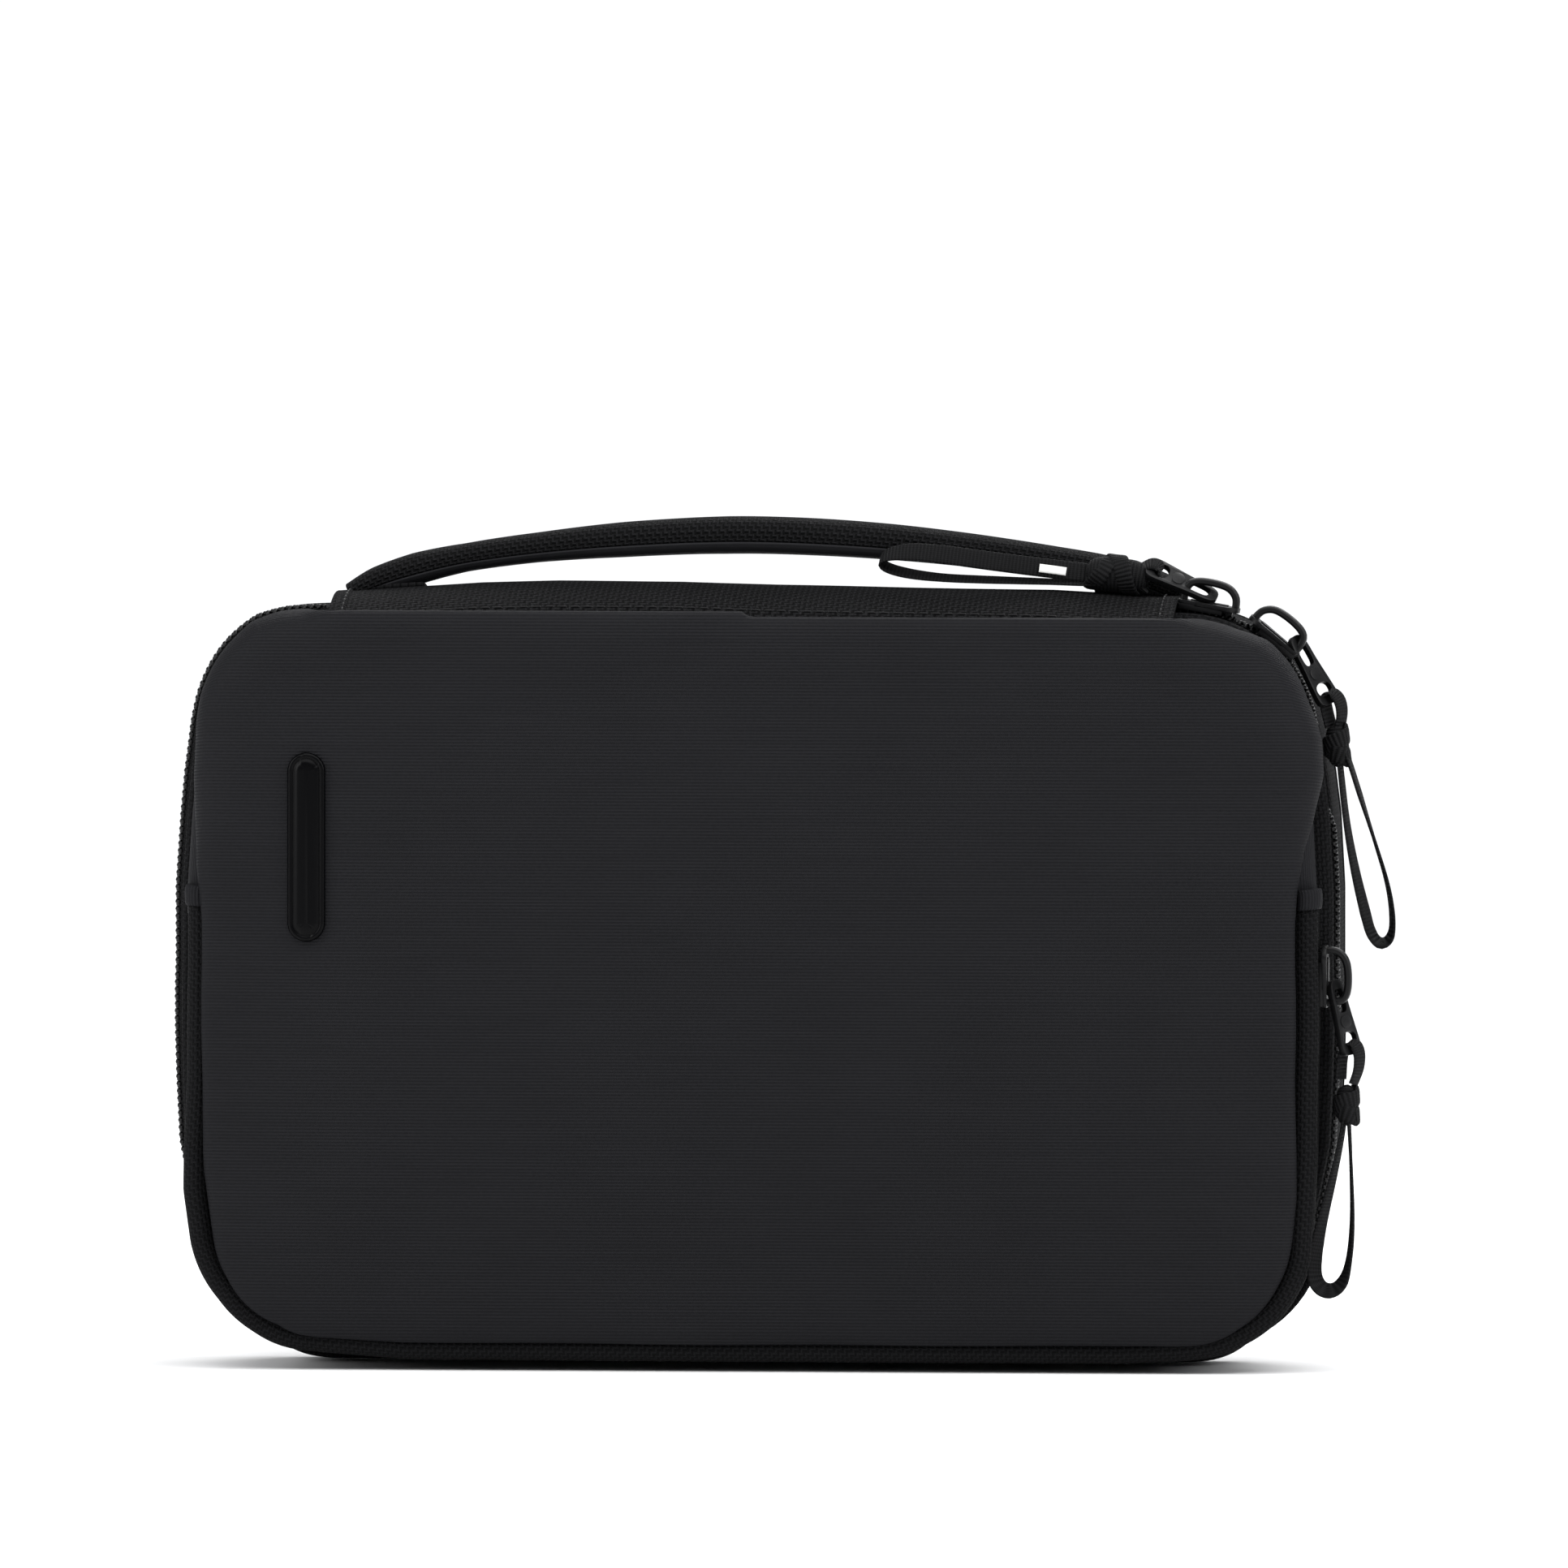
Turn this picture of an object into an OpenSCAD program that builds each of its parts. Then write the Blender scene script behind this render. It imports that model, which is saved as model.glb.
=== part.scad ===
// Soft pouch for cables and chargers: two zipped compartments under a woven
// spine band with a padded handle. Millimetres, +X right, front towards -Y,
// +Z up, origin on the floor strip of the back half.

/* [Body] */
// Width at the belly, the widest place
body_w = 245; // [200:1:300]
// Height of the side walls, up to where the zip leaves the spine band
body_h = 159; // [130:1:200]
// Depth behind the main zip
back_depth = 28; // [20:1:45]
// Radius of the shoulders
shoulder_r = 28; // [22:1:34]
// Radius of the bottom corners
foot_r = 28; // [20:1:34]
// How much narrower the shoulders are than the belly, on each side
shoulder_in = 4.5; // [2:0.5:8]
// How much narrower the bottom corners are than the belly, on each side
foot_in = 2.5; // [1:0.5:6]
// Height of the belly
belly_z = 75; // [60:1:90]

/* [Fabric] */
// Thickness of a padded panel
panel_t = 3; // [2:0.5:5]
// Thickness of a gusset wall
gusset_t = 2; // [1.5:0.1:2.8]
// Thickness of a lining sheet
lining_t = 0.6; // [0.4:0.1:1]
// Thickness of a bound edge inside
binding_t = 1.8; // [1.2:0.1:2.5]
// Width of the wall between the two zips
lid_gusset_w = 3.4; // [2.8:0.2:8]
// Width of the wall between the front zip and the front panel
flap_gusset_w = 3; // [2:0.5:8]
// Step from the main zip in to the front zip, seen from the front
front_step = 4; // [3:0.5:6]
// Height of the line that the front flap folds on
fold_z = 85; // [75:1:90]
// Height of the side tabs' lower edge
tab_z = 97; // [95:1:104]
// Height of a side tab
tab_h = 4; // [3:0.5:6]

/* [Spine and handle] */
// Distance of the spine band's ends in from the shoulders
spine_in = 2; // [0:0.5:20]
// Distance of the handle's ends in from the band's ends
handle_in = 2; // [1:0.5:20]
// Rise of the band's crest above the fold lines
spine_rise = 4; // [3:0.5:7]
// Thickness of the band
spine_t = 1.6; // [1:0.1:2.5]
// Width of the padded handle
handle_w = 14; // [10:0.5:18]
// Rise of the handle's top above its roots
handle_rise = 12.2; // [12:0.2:20]
// Thickness of the handle at its crest
handle_t = 6.3; // [4:0.1:7]
// Thickness of the handle's smooth under layer
handle_lining_t = 1.8; // [1:0.1:2.4]
// Length of a sewn handle patch
patch_l = 14; // [10:0.5:18]
// Distance of the handle's centre line behind the band's front edge
handle_set = 32; // [30:0.5:34]

/* [Zips] */
// Half of the width of a closed zip, both tapes
chain_half = 4.8; // [4.6:0.1:6]
// Thickness of a tape
tape_t = 0.8; // [0.6:0.1:1]
// Height of the coil on its tape
coil_h = 1.4; // [1.2:0.1:1.6]
// Width of one coil strand
coil_w = 1.5; // [1:0.1:1.6]
// Half of the gap between the strands where a slider runs
parted = 0.9; // [0.8:0.1:1.2]
// Length of a slider's body
slider_l = 13; // [11:0.5:14]
// Width of a slider's wide end
slider_w = 8.8; // [7:0.2:9]
// Width of a slider's narrow end
slider_tail_w = 7; // [5:0.2:8]
// Thickness of a slider's plates
plate_t = 0.9; // [0.7:0.1:1.2]
// Span of a slider's bridge
bridge_l = 12; // [10:0.5:12.5]
// Width of a slider's bridge
bridge_w = 2; // [1.6:0.1:2.4]
// Height inside the bridge
bridge_gap = 2.8; // [2.6:0.1:3.6]
// Length of a pull tab between its two bars
tab_l = 13.5; // [12:0.5:18]
// Width of a pull tab
tab_w = 6.6; // [6:0.2:8]
// Thickness of a pull tab
tab_t = 1; // [0.8:0.1:1.4]
// Width of the pull ribbon
ribbon_w = 3.8; // [3:0.1:4.2]
// Thickness of the pull ribbon
ribbon_t = 0.7; // [0.5:0.1:0.8]

/* [Inside] */
// Number of elastic loops in a row
loop_n = 5; // [3:1:7]
// Distance from one loop to the next
loop_pitch = 36; // [28:1:40]
// Width of a loop's opening
loop_w = 28; // [20:1:32]
// Depth of a loop's opening
loop_d = 5.5; // [4.5:0.5:8]
// Height of the elastic
loop_h = 25; // [15:1:35]
// Thickness of the elastic
elastic_t = 1; // [0.6:0.1:1.5]
// Height of the mesh pocket's mouth
mesh_top = 95; // [70:1:120]

/* [Badge] */
// Length of the rubber badge
badge_l = 39.5; // [30:0.5:50]
// Width of the rubber badge
badge_w = 8; // [6:0.5:12]
// Distance of the badge's middle from the panel's edge
badge_in = 26.3; // [14:0.1:60]
// Height of the badge's lower end above the flap's fold
badge_up = 4.5; // [1:0.5:20]

/* [Hidden] */
$fn = 48;

gap = 0.3;                       // room between bodies that move past each other
half_w = body_w / 2;
big = 2 * body_w;                // more than anything that is cut

// Planes along Y, from back to front
main_zip_y = -6;
back_y = main_zip_y + back_depth;
back_inner_y = back_y - panel_t;
back_gusset_y = main_zip_y + chain_half;
lid_gusset_y = main_zip_y - chain_half;
lid_gusset_front_y = lid_gusset_y - lid_gusset_w;
pocket_zip_y = lid_gusset_front_y - chain_half;
flap_gusset_y = pocket_zip_y - chain_half;
panel_y = flap_gusset_y - flap_gusset_w;
front_y = panel_y - panel_t;

// Centres of the outline's arcs
shoulder_x = half_w - shoulder_in - shoulder_r;
shoulder_z = body_h - shoulder_r;
foot_x = half_w - foot_in - foot_r;

// Insets from the outline
tape_in = coil_h + 0.1;          // outer face of the main zip's tape
front_in = front_step;           // edge of the front panel, and the front zip's tape
badge_x = half_w - front_in - badge_in;

// The spine band folds on two lines, along its back and front edges
spine_mid_y = (back_inner_y + panel_y) / 2;
spine_half = (back_inner_y - panel_y) / 2 - gap;
axis_z = body_h + 0.5;
spine_top = axis_z + spine_rise;
spine_drop = 1.5;                // outer edge of the band below the fold lines
spine_r = (pow(spine_half, 2) + pow(spine_rise + spine_drop, 2))
    / (2 * (spine_rise + spine_drop));
spine_cz = spine_top - spine_r;
spine_edge_z = spine_cz
    + sqrt(pow(spine_r - spine_t - lining_t, 2) - pow(spine_half, 2));
spine_end = shoulder_x - spine_in;

handle_l = 2 * (spine_end - handle_in);
handle_y = panel_y + handle_set;
handle_z = spine_top + 1.2;      // the line that the handle flops about
handle_flop = 30;                // how far it flops each way
root_l = 7;                      // step from one layer's end to the next
blunt = 3;                       // cut off the thin end of a layer
layer_gap = 0.1;                 // between the handle's two layers

// Places of the three sliders
slider_1_a = 80.2;               // angle on the shoulder arc
slider_2_a = 50;
slider_3_z = 82.5;
slider_3_travel = 13;
split_x = shoulder_x + (shoulder_r - tape_in) * cos((slider_1_a + slider_2_a) / 2) + 0.4;
corner_end_z = shoulder_z - slider_l - 4;
pocket_start_z = slider_3_z - slider_3_travel - slider_l / 2 - 2;

plate_n = coil_h + 0.4;          // underside of a slider's outer plate
inner_n = 2.6;                   // outer side of a slider's inner plate
bridge_n = plate_n + plate_t;    // foot of the bridge
leg_t = 0.8;                     // thickness of the bridge's legs
bar_r = 0.7;                     // radius of a pull tab's bars
bar_n = bridge_n + bar_r + 0.8;  // height of the near bar's axis
eye_r = bar_r + 0.25;            // inside of the ribbon round the far bar

function arc(cx, cz, r, a0, a1, n = 10) =
    [for (i = [0 : n]) let (a = a0 + (a1 - a0) * i / n) [cx + r * cos(a), cz + r * sin(a)]];

// Right half of the outline, from the top down, moved in by d
function right_side(d) = concat(
    arc(shoulder_x, shoulder_z, shoulder_r - d, 90, 0),
    [[half_w - d, belly_z]],
    arc(foot_x, foot_r, foot_r - d, 0, -90)
);

function flipped(p) = [for (i = [len(p) - 1 : -1 : 0]) [-p[i][0], p[i][1]]];

module outline(d) {
    polygon(concat(right_side(d), flipped(right_side(d))));
}

// Stands a sketch of X and Z up, from y0 to y1
module layer(y0, y1) {
    translate([0, y1, 0]) rotate([90, 0, 0]) linear_extrude(y1 - y0) children();
}

module ring(d0, d1) {
    difference() {
        outline(d0);
        outline(d1);
    }
}

// A rectangle of X and Z by its limits
module window(x0, x1, z0, z1) {
    translate([x0, z0]) square([x1 - x0, z1 - z0]);
}

// The outline's stretches
module without_spine() {
    difference() {
        children();
        window(-spine_end - gap, spine_end + gap, shoulder_z, big);
    }
}

module without_corner() {
    difference() {
        children();
        window(0, big, corner_end_z - gap, big);
    }
}

module without_slider_3() {
    difference() {
        children();
        window(0, big, pocket_start_z - gap, big);
    }
}

module below(z) {
    intersection() {
        children();
        window(-big, big, -big, z);
    }
}

module above(z) {
    intersection() {
        children();
        window(-big, big, z, big);
    }
}

// Back half

module back_panel() {
    color("#26282a") layer(back_inner_y, back_y) outline(1);
}

module back_gusset() {
    color("#1c1d1f") layer(back_gusset_y, back_inner_y) without_spine() ring(0, gusset_t);
}

module back_zip_tape() {
    color("#141416") layer(main_zip_y + 0.6, back_gusset_y)
        without_corner() without_spine() ring(tape_in, tape_in + tape_t);
}

module back_zip_coil() {
    color("#0e0e10") layer(main_zip_y + 0.2, main_zip_y + 0.2 + coil_w)
        without_corner() without_spine() ring(0, coil_h);
}

// The closed stretch of the main zip that slider 2 runs on
module corner_stretch() {
    intersection() {
        children();
        window(split_x, big, corner_end_z, big);
    }
}

module corner_zip_tape() {
    color("#141416") both_strands(main_zip_y, parted, chain_half - gap)
        corner_stretch() ring(tape_in, tape_in + tape_t);
    color("#141416") layer(main_zip_y + chain_half - gap, back_gusset_y)
        corner_stretch() ring(tape_in, gusset_t);
}

module corner_zip_coil() {
    color("#0e0e10") both_strands(main_zip_y, parted, parted + coil_w)
        corner_stretch() ring(0.1, coil_h);
}

// The same strip on both sides of a zip's middle
module both_strands(mid_y, y0, y1) {
    layer(mid_y + y0, mid_y + y1) children();
    layer(mid_y - y1, mid_y - y0) children();
}

module back_lining() {
    color("#303236") layer(back_inner_y - lining_t, back_inner_y)
        below(spine_edge_z - gap) outline(gusset_t + 0.1);
}

module back_seam_binding() {
    color("#101012") layer(back_inner_y - lining_t - binding_t, back_inner_y - lining_t)
        below(shoulder_z) ring(gusset_t + 0.1, gusset_t + 0.1 + binding_t);
}

// A row of loops: a flat strip on the lining, with a box-shaped loop at each step
module elastic_loops(z) {
    y0 = back_inner_y - lining_t;
    row_l = (loop_n - 1) * loop_pitch + loop_w + 6;
    translate([0, 0, z]) difference() {
        union() {
            translate([-row_l / 2, y0 - elastic_t, 0]) cube([row_l, elastic_t, loop_h]);
            for (i = [0 : loop_n - 1])
                translate([(i - (loop_n - 1) / 2) * loop_pitch - loop_w / 2 - elastic_t,
                           y0 - loop_d - elastic_t, 0])
                    cube([loop_w + 2 * elastic_t, loop_d + elastic_t, loop_h]);
        }
        for (i = [0 : loop_n - 1])
            translate([(i - (loop_n - 1) / 2) * loop_pitch - loop_w / 2, y0 - loop_d, -1])
                cube([loop_w, loop_d + 1, loop_h + 2]);
    }
}

module upper_elastic_loops() {
    color("#1a1a1c") elastic_loops(belly_z + 12);
}

module lower_elastic_loops() {
    color("#1a1a1c") elastic_loops(belly_z - 45);
}

// Spine

// The band's arched section, from one depth below its outer face to another
module band(d0, d1, x0, x1) {
    translate([x0, spine_mid_y, spine_cz]) rotate([90, 0, 90]) linear_extrude(x1 - x0)
        intersection() {
            difference() {
                circle(spine_r - d0, $fn = 180);
                circle(spine_r - d1, $fn = 180);
            }
            translate([-spine_half, 0]) square([2 * spine_half, 2 * spine_r]);
        }
}

module spine_band() {
    color("#17181a") band(0, spine_t, -spine_end, spine_end);
}

module spine_lining() {
    color("#303236") band(spine_t, spine_t + lining_t, -spine_end + 1, spine_end - 1);
}

module spine_end_bindings() {
    color("#0f0f11") for (s = [-1, 1])
        band(-0.3, 0, s * (spine_end - 1.5) - 1.5, s * (spine_end - 1.5) + 1.5);
}

// The zip's start, sewn to the band's right end
module spine_stretch() {
    intersection() {
        children();
        window(spine_end, split_x - gap, shoulder_z, big);
    }
}

module spine_zip_tape() {
    color("#141416") both_strands(main_zip_y, parted, chain_half - gap)
        spine_stretch() ring(tape_in, tape_in + tape_t);
}

module spine_zip_coil() {
    color("#0e0e10") both_strands(main_zip_y, parted, parted + coil_w)
        spine_stretch() ring(0.1, coil_h);
}

module handle_patches() {
    color("#111113") difference() {
        for (s = [-1, 1])
            translate([s * (spine_end - 3.5 - patch_l / 2) - patch_l / 2,
                       handle_y - handle_w / 2, spine_cz])
                cube([patch_l, handle_w, spine_top + gap - spine_cz]);
        translate([0, spine_mid_y, spine_cz]) rotate([0, 90, 0])
            cylinder(r = spine_r, h = big, center = true, $fn = 180);
    }
}

// Handle

// An arch of X and Z on the handle's line: its half length and its rise
module arch(half_l, rise) {
    r = (pow(half_l, 2) + pow(rise, 2)) / (2 * rise);
    intersection() {
        translate([0, handle_z + rise - r]) circle(r, $fn = 360);
        window(-half_l, half_l, handle_z, handle_z + rise + 1);
    }
}

// One layer of the handle, from the arch over it to the arch under it, cut away
// below so that it clears the band when it flops to either side
module handle_layer(over_l, over_rise, under_l, under_rise) {
    difference() {
        layer(handle_y - handle_w / 2, handle_y + handle_w / 2) difference() {
            arch(over_l / 2, over_rise);
            arch(under_l / 2, under_rise);
            for (s = [-1, 1]) translate([s * (over_l / 2 - blunt), 0])
                window(s > 0 ? 0 : -root_l, s > 0 ? root_l : 0, 0, big);
        }
        for (s = [-1, 1])
            translate([0, handle_y, handle_z - 0.6]) rotate([s * (handle_flop + 2), 0, 0])
                translate([-big / 2, -big / 2, -big]) cube(big);
    }
}

module handle_webbing() {
    color("#1b1c1e") handle_layer(handle_l, handle_rise,
        handle_l - 2 * root_l, handle_rise - handle_t + handle_lining_t);
}

module handle_lining() {
    color("#2c2d30") handle_layer(handle_l - 2 * root_l - 1,
        handle_rise - handle_t + handle_lining_t - layer_gap,
        handle_l - 4 * root_l, handle_rise - handle_t);
}

// Sliders, pull tabs and ribbons

// Lays a piece at a point of X and Z with its own X along the angle
module place(x, z, a, y = main_zip_y) {
    translate([x, y, z]) rotate([0, -a, 0]) children();
}

// Plan of a slider's plate: narrow at -X, wide at +X
module plate_plan(l, tail_w, mouth_w) {
    polygon([
        [-l / 2, -tail_w / 2], [l * 0.12, -tail_w / 2], [l * 0.3, -mouth_w / 2],
        [l / 2, -mouth_w * 0.3], [l / 2, mouth_w * 0.3],
        [l * 0.3, mouth_w / 2], [l * 0.12, tail_w / 2], [-l / 2, tail_w / 2]
    ]);
}

// A slider on its zip: its own Z points away from the pouch
module slider() {
    translate([0, 0, plate_n]) linear_extrude(plate_t)
        plate_plan(slider_l, slider_tail_w, slider_w);
    translate([0, 0, -inner_n - plate_t]) linear_extrude(plate_t)
        plate_plan(slider_l - 2, slider_tail_w, slider_w);
    translate([slider_l * 0.12, -0.6, -inner_n]) cube([slider_l * 0.26, 1.2, inner_n + plate_n]);
    bridge();
}

module bridge() {
    difference() {
        translate([-bridge_l / 2, -bridge_w / 2, bridge_n])
            cube([bridge_l, bridge_w, bridge_gap + 1.1]);
        translate([-bridge_l / 2 + leg_t, -bridge_w, bridge_n])
            cube([bridge_l - 2 * leg_t, 2 * bridge_w, bridge_gap]);
    }
}

// A tab with its near bar on the origin and its far bar on +X
module pull_tab() {
    rail = (tab_w - ribbon_w - 0.6) / 2;
    for (x = [0, tab_l])
        translate([x, 0, 0]) rotate([90, 0, 0]) cylinder(r = bar_r, h = tab_w, center = true);
    for (s = [-1, 1])
        translate([0, s * (tab_w - rail) / 2 - rail / 2, -tab_t / 2]) cube([tab_l, rail, tab_t]);
    translate([tab_l / 2, -tab_w / 2, -tab_t / 2]) cube([tab_l * 0.14, tab_w, tab_t]);
}

// A ribbon with its eye round the origin, then a knot and a long loop on +X
module ribbon(loop_l, loop_h2) {
    knot_x = 4.5;
    knot_l = 8;
    knot_r = 2.2;
    rotate([90, 0, 0]) linear_extrude(ribbon_w, center = true) difference() {
        union() {
            circle(eye_r + ribbon_t);
            translate([0, -eye_r - ribbon_t]) square([knot_x, 2 * (eye_r + ribbon_t)]);
        }
        circle(eye_r);
        translate([0, -eye_r]) square([knot_x, 2 * eye_r]);
    }
    translate([knot_x, 0, 0]) rotate([0, 90, 0]) cylinder(r = knot_r, h = knot_l);
    translate([knot_x + knot_l, 0, 0]) rotate([90, 0, 0])
        linear_extrude(ribbon_w, center = true) difference() {
            loop_plan(loop_l, loop_h2);
            translate([ribbon_t, 0]) loop_plan(loop_l - 2 * ribbon_t, loop_h2 - 2 * ribbon_t);
        }
}

// A long rounded outline that starts on the origin
module loop_plan(l, h) {
    translate([h / 2, -h / 2]) square([l - h, h]);
    translate([h / 2, 0]) circle(h / 2);
    translate([l - h / 2, 0]) circle(h / 2);
}

// Where a slider's tape lies on the shoulder arc
function on_arc(a, n = 0) = [
    shoulder_x + (shoulder_r - tape_in + n) * cos(a),
    shoulder_z + (shoulder_r - tape_in + n) * sin(a)
];

// Slider 1, its wide end to the right
tab_1_a = 155;
bar_1 = on_arc(slider_1_a, bar_n);
eye_1 = bar_1 + tab_l * [cos(tab_1_a), sin(tab_1_a)];

module slider_1_body() {
    p = on_arc(slider_1_a);
    color("#1f1f22") place(p[0], p[1], slider_1_a - 90) slider();
}

module pull_tab_1() {
    color("#1f1f22") place(bar_1[0], bar_1[1], tab_1_a) pull_tab();
}

module ribbon_1() {
    color("#141415") place(eye_1[0], eye_1[1], 180) ribbon(44, 5);
}

module ribbon_mark_1() {
    color("#e8e8e6") place(eye_1[0], eye_1[1], 180)
        translate([29, -ribbon_w / 2 + 0.4, -2.5 - 0.25]) cube([5, ribbon_w - 0.8, 0.25]);
}

// Slider 2, its wide end up and to the left
tab_2_a = -61;
bar_2_shift = bridge_l / 2 - leg_t - bar_r - 0.2;
bar_2 = on_arc(slider_2_a, bar_n) + bar_2_shift * [sin(slider_2_a), -cos(slider_2_a)];
eye_2 = bar_2 + tab_l * [cos(tab_2_a), sin(tab_2_a)];

module slider_2_body() {
    p = on_arc(slider_2_a);
    color("#1f1f22") place(p[0], p[1], slider_2_a - 90) rotate([0, 0, 180]) slider();
}

module pull_tab_2() {
    color("#1f1f22") place(bar_2[0], bar_2[1], tab_2_a) pull_tab();
}

module ribbon_2() {
    color("#141415") place(eye_2[0], eye_2[1], -79) ribbon(40, 6);
}

// Slider 3, its wide end up, on the straight right side
slider_3_x = half_w - front_in - 0.6;
tab_3_a = -76;
bar_3 = [slider_3_x + bar_n, slider_3_z - 2];
eye_3 = bar_3 + tab_l * [cos(tab_3_a), sin(tab_3_a)];

module slider_3_body() {
    color("#1f1f22") place(slider_3_x, slider_3_z, -90, pocket_zip_y) rotate([0, 0, 180]) slider();
}

module pull_tab_3() {
    color("#1f1f22") place(bar_3[0], bar_3[1], tab_3_a, pocket_zip_y) pull_tab();
}

module ribbon_3() {
    color("#141415") place(eye_3[0], eye_3[1], -88, pocket_zip_y) ribbon(40, 7);
}

// Lid

module divider_panel() {
    color("#2c2e31") layer(lid_gusset_front_y, lid_gusset_front_y + 2.4) outline(front_in);
}

module lid_gusset() {
    color("#18191b") layer(lid_gusset_front_y, lid_gusset_y) ring(tape_in, front_in);
}

module lid_zip_tape() {
    color("#141416") layer(lid_gusset_y, main_zip_y - 0.6)
        without_corner() without_spine() ring(tape_in, tape_in + tape_t);
}

module lid_zip_coil() {
    color("#0e0e10") layer(main_zip_y - 0.2 - coil_w, main_zip_y - 0.2)
        without_corner() without_spine() ring(0, coil_h);
}

// The mesh stands off the divider by the depth of the pocket
pocket_y = lid_gusset_front_y + 2.4;
pocket_d = 1.4;
mesh_half = shoulder_x + 10;

module mesh_pocket() {
    color("#3a3b3e") layer(pocket_y + pocket_d, pocket_y + pocket_d + lining_t)
        window(-mesh_half + 3, mesh_half - 3, foot_r / 2 + 3, mesh_top - 4);
}

module mesh_pocket_binding() {
    color("#101012") {
        layer(pocket_y, pocket_y + pocket_d + lining_t) difference() {
            window(-mesh_half, mesh_half, foot_r / 2, mesh_top - 4);
            window(-mesh_half + 3, mesh_half - 3, foot_r / 2 + 3, big);
        }
        layer(pocket_y + pocket_d - 0.3, pocket_y + pocket_d + lining_t + 0.3)
            window(-mesh_half, mesh_half, mesh_top - 4, mesh_top);
    }
}

module pocket_lining() {
    color("#303236") layer(lid_gusset_front_y - lining_t, lid_gusset_front_y)
        outline(front_in + tape_t + coil_h + 5);
}

module upper_front_panel() {
    color("#292b2d") layer(front_y, panel_y) above(fold_z + gap) outline(front_in);
}

module front_badge() {
    r = badge_w / 2;
    z0 = fold_z + badge_up;
    color("#0a0a0b") layer(front_y - 1.4, front_y) {
        translate([-badge_x - r, z0 + r]) square([badge_w, badge_l - badge_w]);
        for (z = [z0 + r, z0 + badge_l - r]) translate([-badge_x, z]) circle(r);
    }
}

// The panel fabric wraps back over the sides down to the tabs
module upper_gusset() {
    color("#292b2d") layer(panel_y, lid_gusset_front_y) above(tab_z) ring(front_in, front_in + gusset_t);
    color("#292b2d") layer(panel_y, flap_gusset_y)
        above(fold_z + gap) below(tab_z) ring(front_in, front_in + gusset_t);
}

module side_tabs() {
    color("#0f0f11") layer(pocket_zip_y - 2.5, pocket_zip_y + 2.5)
        above(tab_z) below(tab_z + tab_h) ring(front_in - 0.8, front_in);
}

module rear_pocket_zip_tape() {
    color("#141416") layer(pocket_zip_y + 0.3, lid_gusset_front_y)
        below(tab_z) without_slider_3() ring(front_in, front_in + tape_t);
}

module rear_pocket_zip_coil() {
    color("#0e0e10") layer(pocket_zip_y + 0.2, pocket_zip_y + 0.2 + coil_w)
        below(tab_z) without_slider_3()
            ring(front_in + tape_t + 0.1, front_in + tape_t + coil_h);
}

// The closed stretch of the front zip that slider 3 runs on
module upper_stretch() {
    intersection() {
        children();
        window(0, big, pocket_start_z, tab_z);
    }
}

module upper_pocket_zip_tape() {
    color("#141416") layer(pocket_zip_y + parted, lid_gusset_front_y)
        upper_stretch() ring(front_in, front_in + tape_t);
    color("#141416") layer(flap_gusset_y + gap, pocket_zip_y - parted)
        upper_stretch() ring(front_in, front_in + tape_t);
}

module upper_pocket_zip_coil() {
    color("#0e0e10") both_strands(pocket_zip_y, parted, parted + coil_w)
        upper_stretch() ring(front_in + tape_t, front_in + tape_t + 0.9);
}

// Flap

module lower_front_panel() {
    color("#292b2d") layer(front_y, panel_y) below(fold_z - gap) outline(front_in);
}

module lower_gusset() {
    color("#18191b") layer(panel_y, flap_gusset_y) below(fold_z - gap)
        ring(front_in, front_in + gusset_t);
}

module flap_lining() {
    color("#303236") layer(panel_y, panel_y + lining_t) below(fold_z - 4) outline(front_in + 3);
}

module flap_zip_tape() {
    color("#141416") layer(flap_gusset_y, pocket_zip_y - 0.3)
        below(fold_z - gap) without_slider_3() ring(front_in, front_in + tape_t);
}

module flap_zip_coil() {
    color("#0e0e10") layer(pocket_zip_y - 0.2 - coil_w, pocket_zip_y - 0.2)
        below(fold_z - gap) without_slider_3()
            ring(front_in + tape_t + 0.1, front_in + tape_t + coil_h);
}

back_panel();
back_gusset();
back_zip_tape();
back_zip_coil();
corner_zip_tape();
corner_zip_coil();
back_lining();
back_seam_binding();
upper_elastic_loops();
lower_elastic_loops();
spine_band();
spine_lining();
spine_end_bindings();
spine_zip_tape();
spine_zip_coil();
handle_patches();
slider_1_body();
handle_webbing();
handle_lining();
pull_tab_1();
ribbon_1();
ribbon_mark_1();
slider_2_body();
pull_tab_2();
ribbon_2();
divider_panel();
lid_gusset();
lid_zip_tape();
lid_zip_coil();
mesh_pocket();
mesh_pocket_binding();
pocket_lining();
upper_front_panel();
front_badge();
upper_gusset();
side_tabs();
rear_pocket_zip_tape();
rear_pocket_zip_coil();
upper_pocket_zip_tape();
upper_pocket_zip_coil();
slider_3_body();
pull_tab_3();
ribbon_3();
lower_front_panel();
lower_gusset();
flap_lining();
flap_zip_tape();
flap_zip_coil();
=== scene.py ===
# %% [markdown]
# # A soft pouch for cables and chargers
# The pouch is sewn from coated nylon over thin foam. Two zips open it: the main one between the back
# half and the lid, and a reversed one that lets the lower front panel fold down. A woven band makes
# the spine and carries a padded handle. Every measure below is in millimetres until it enters a mesh.

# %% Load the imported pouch
import math

import bpy
import numpy as np
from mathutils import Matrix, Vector
from mathutils.geometry import tessellate_polygon


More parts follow.
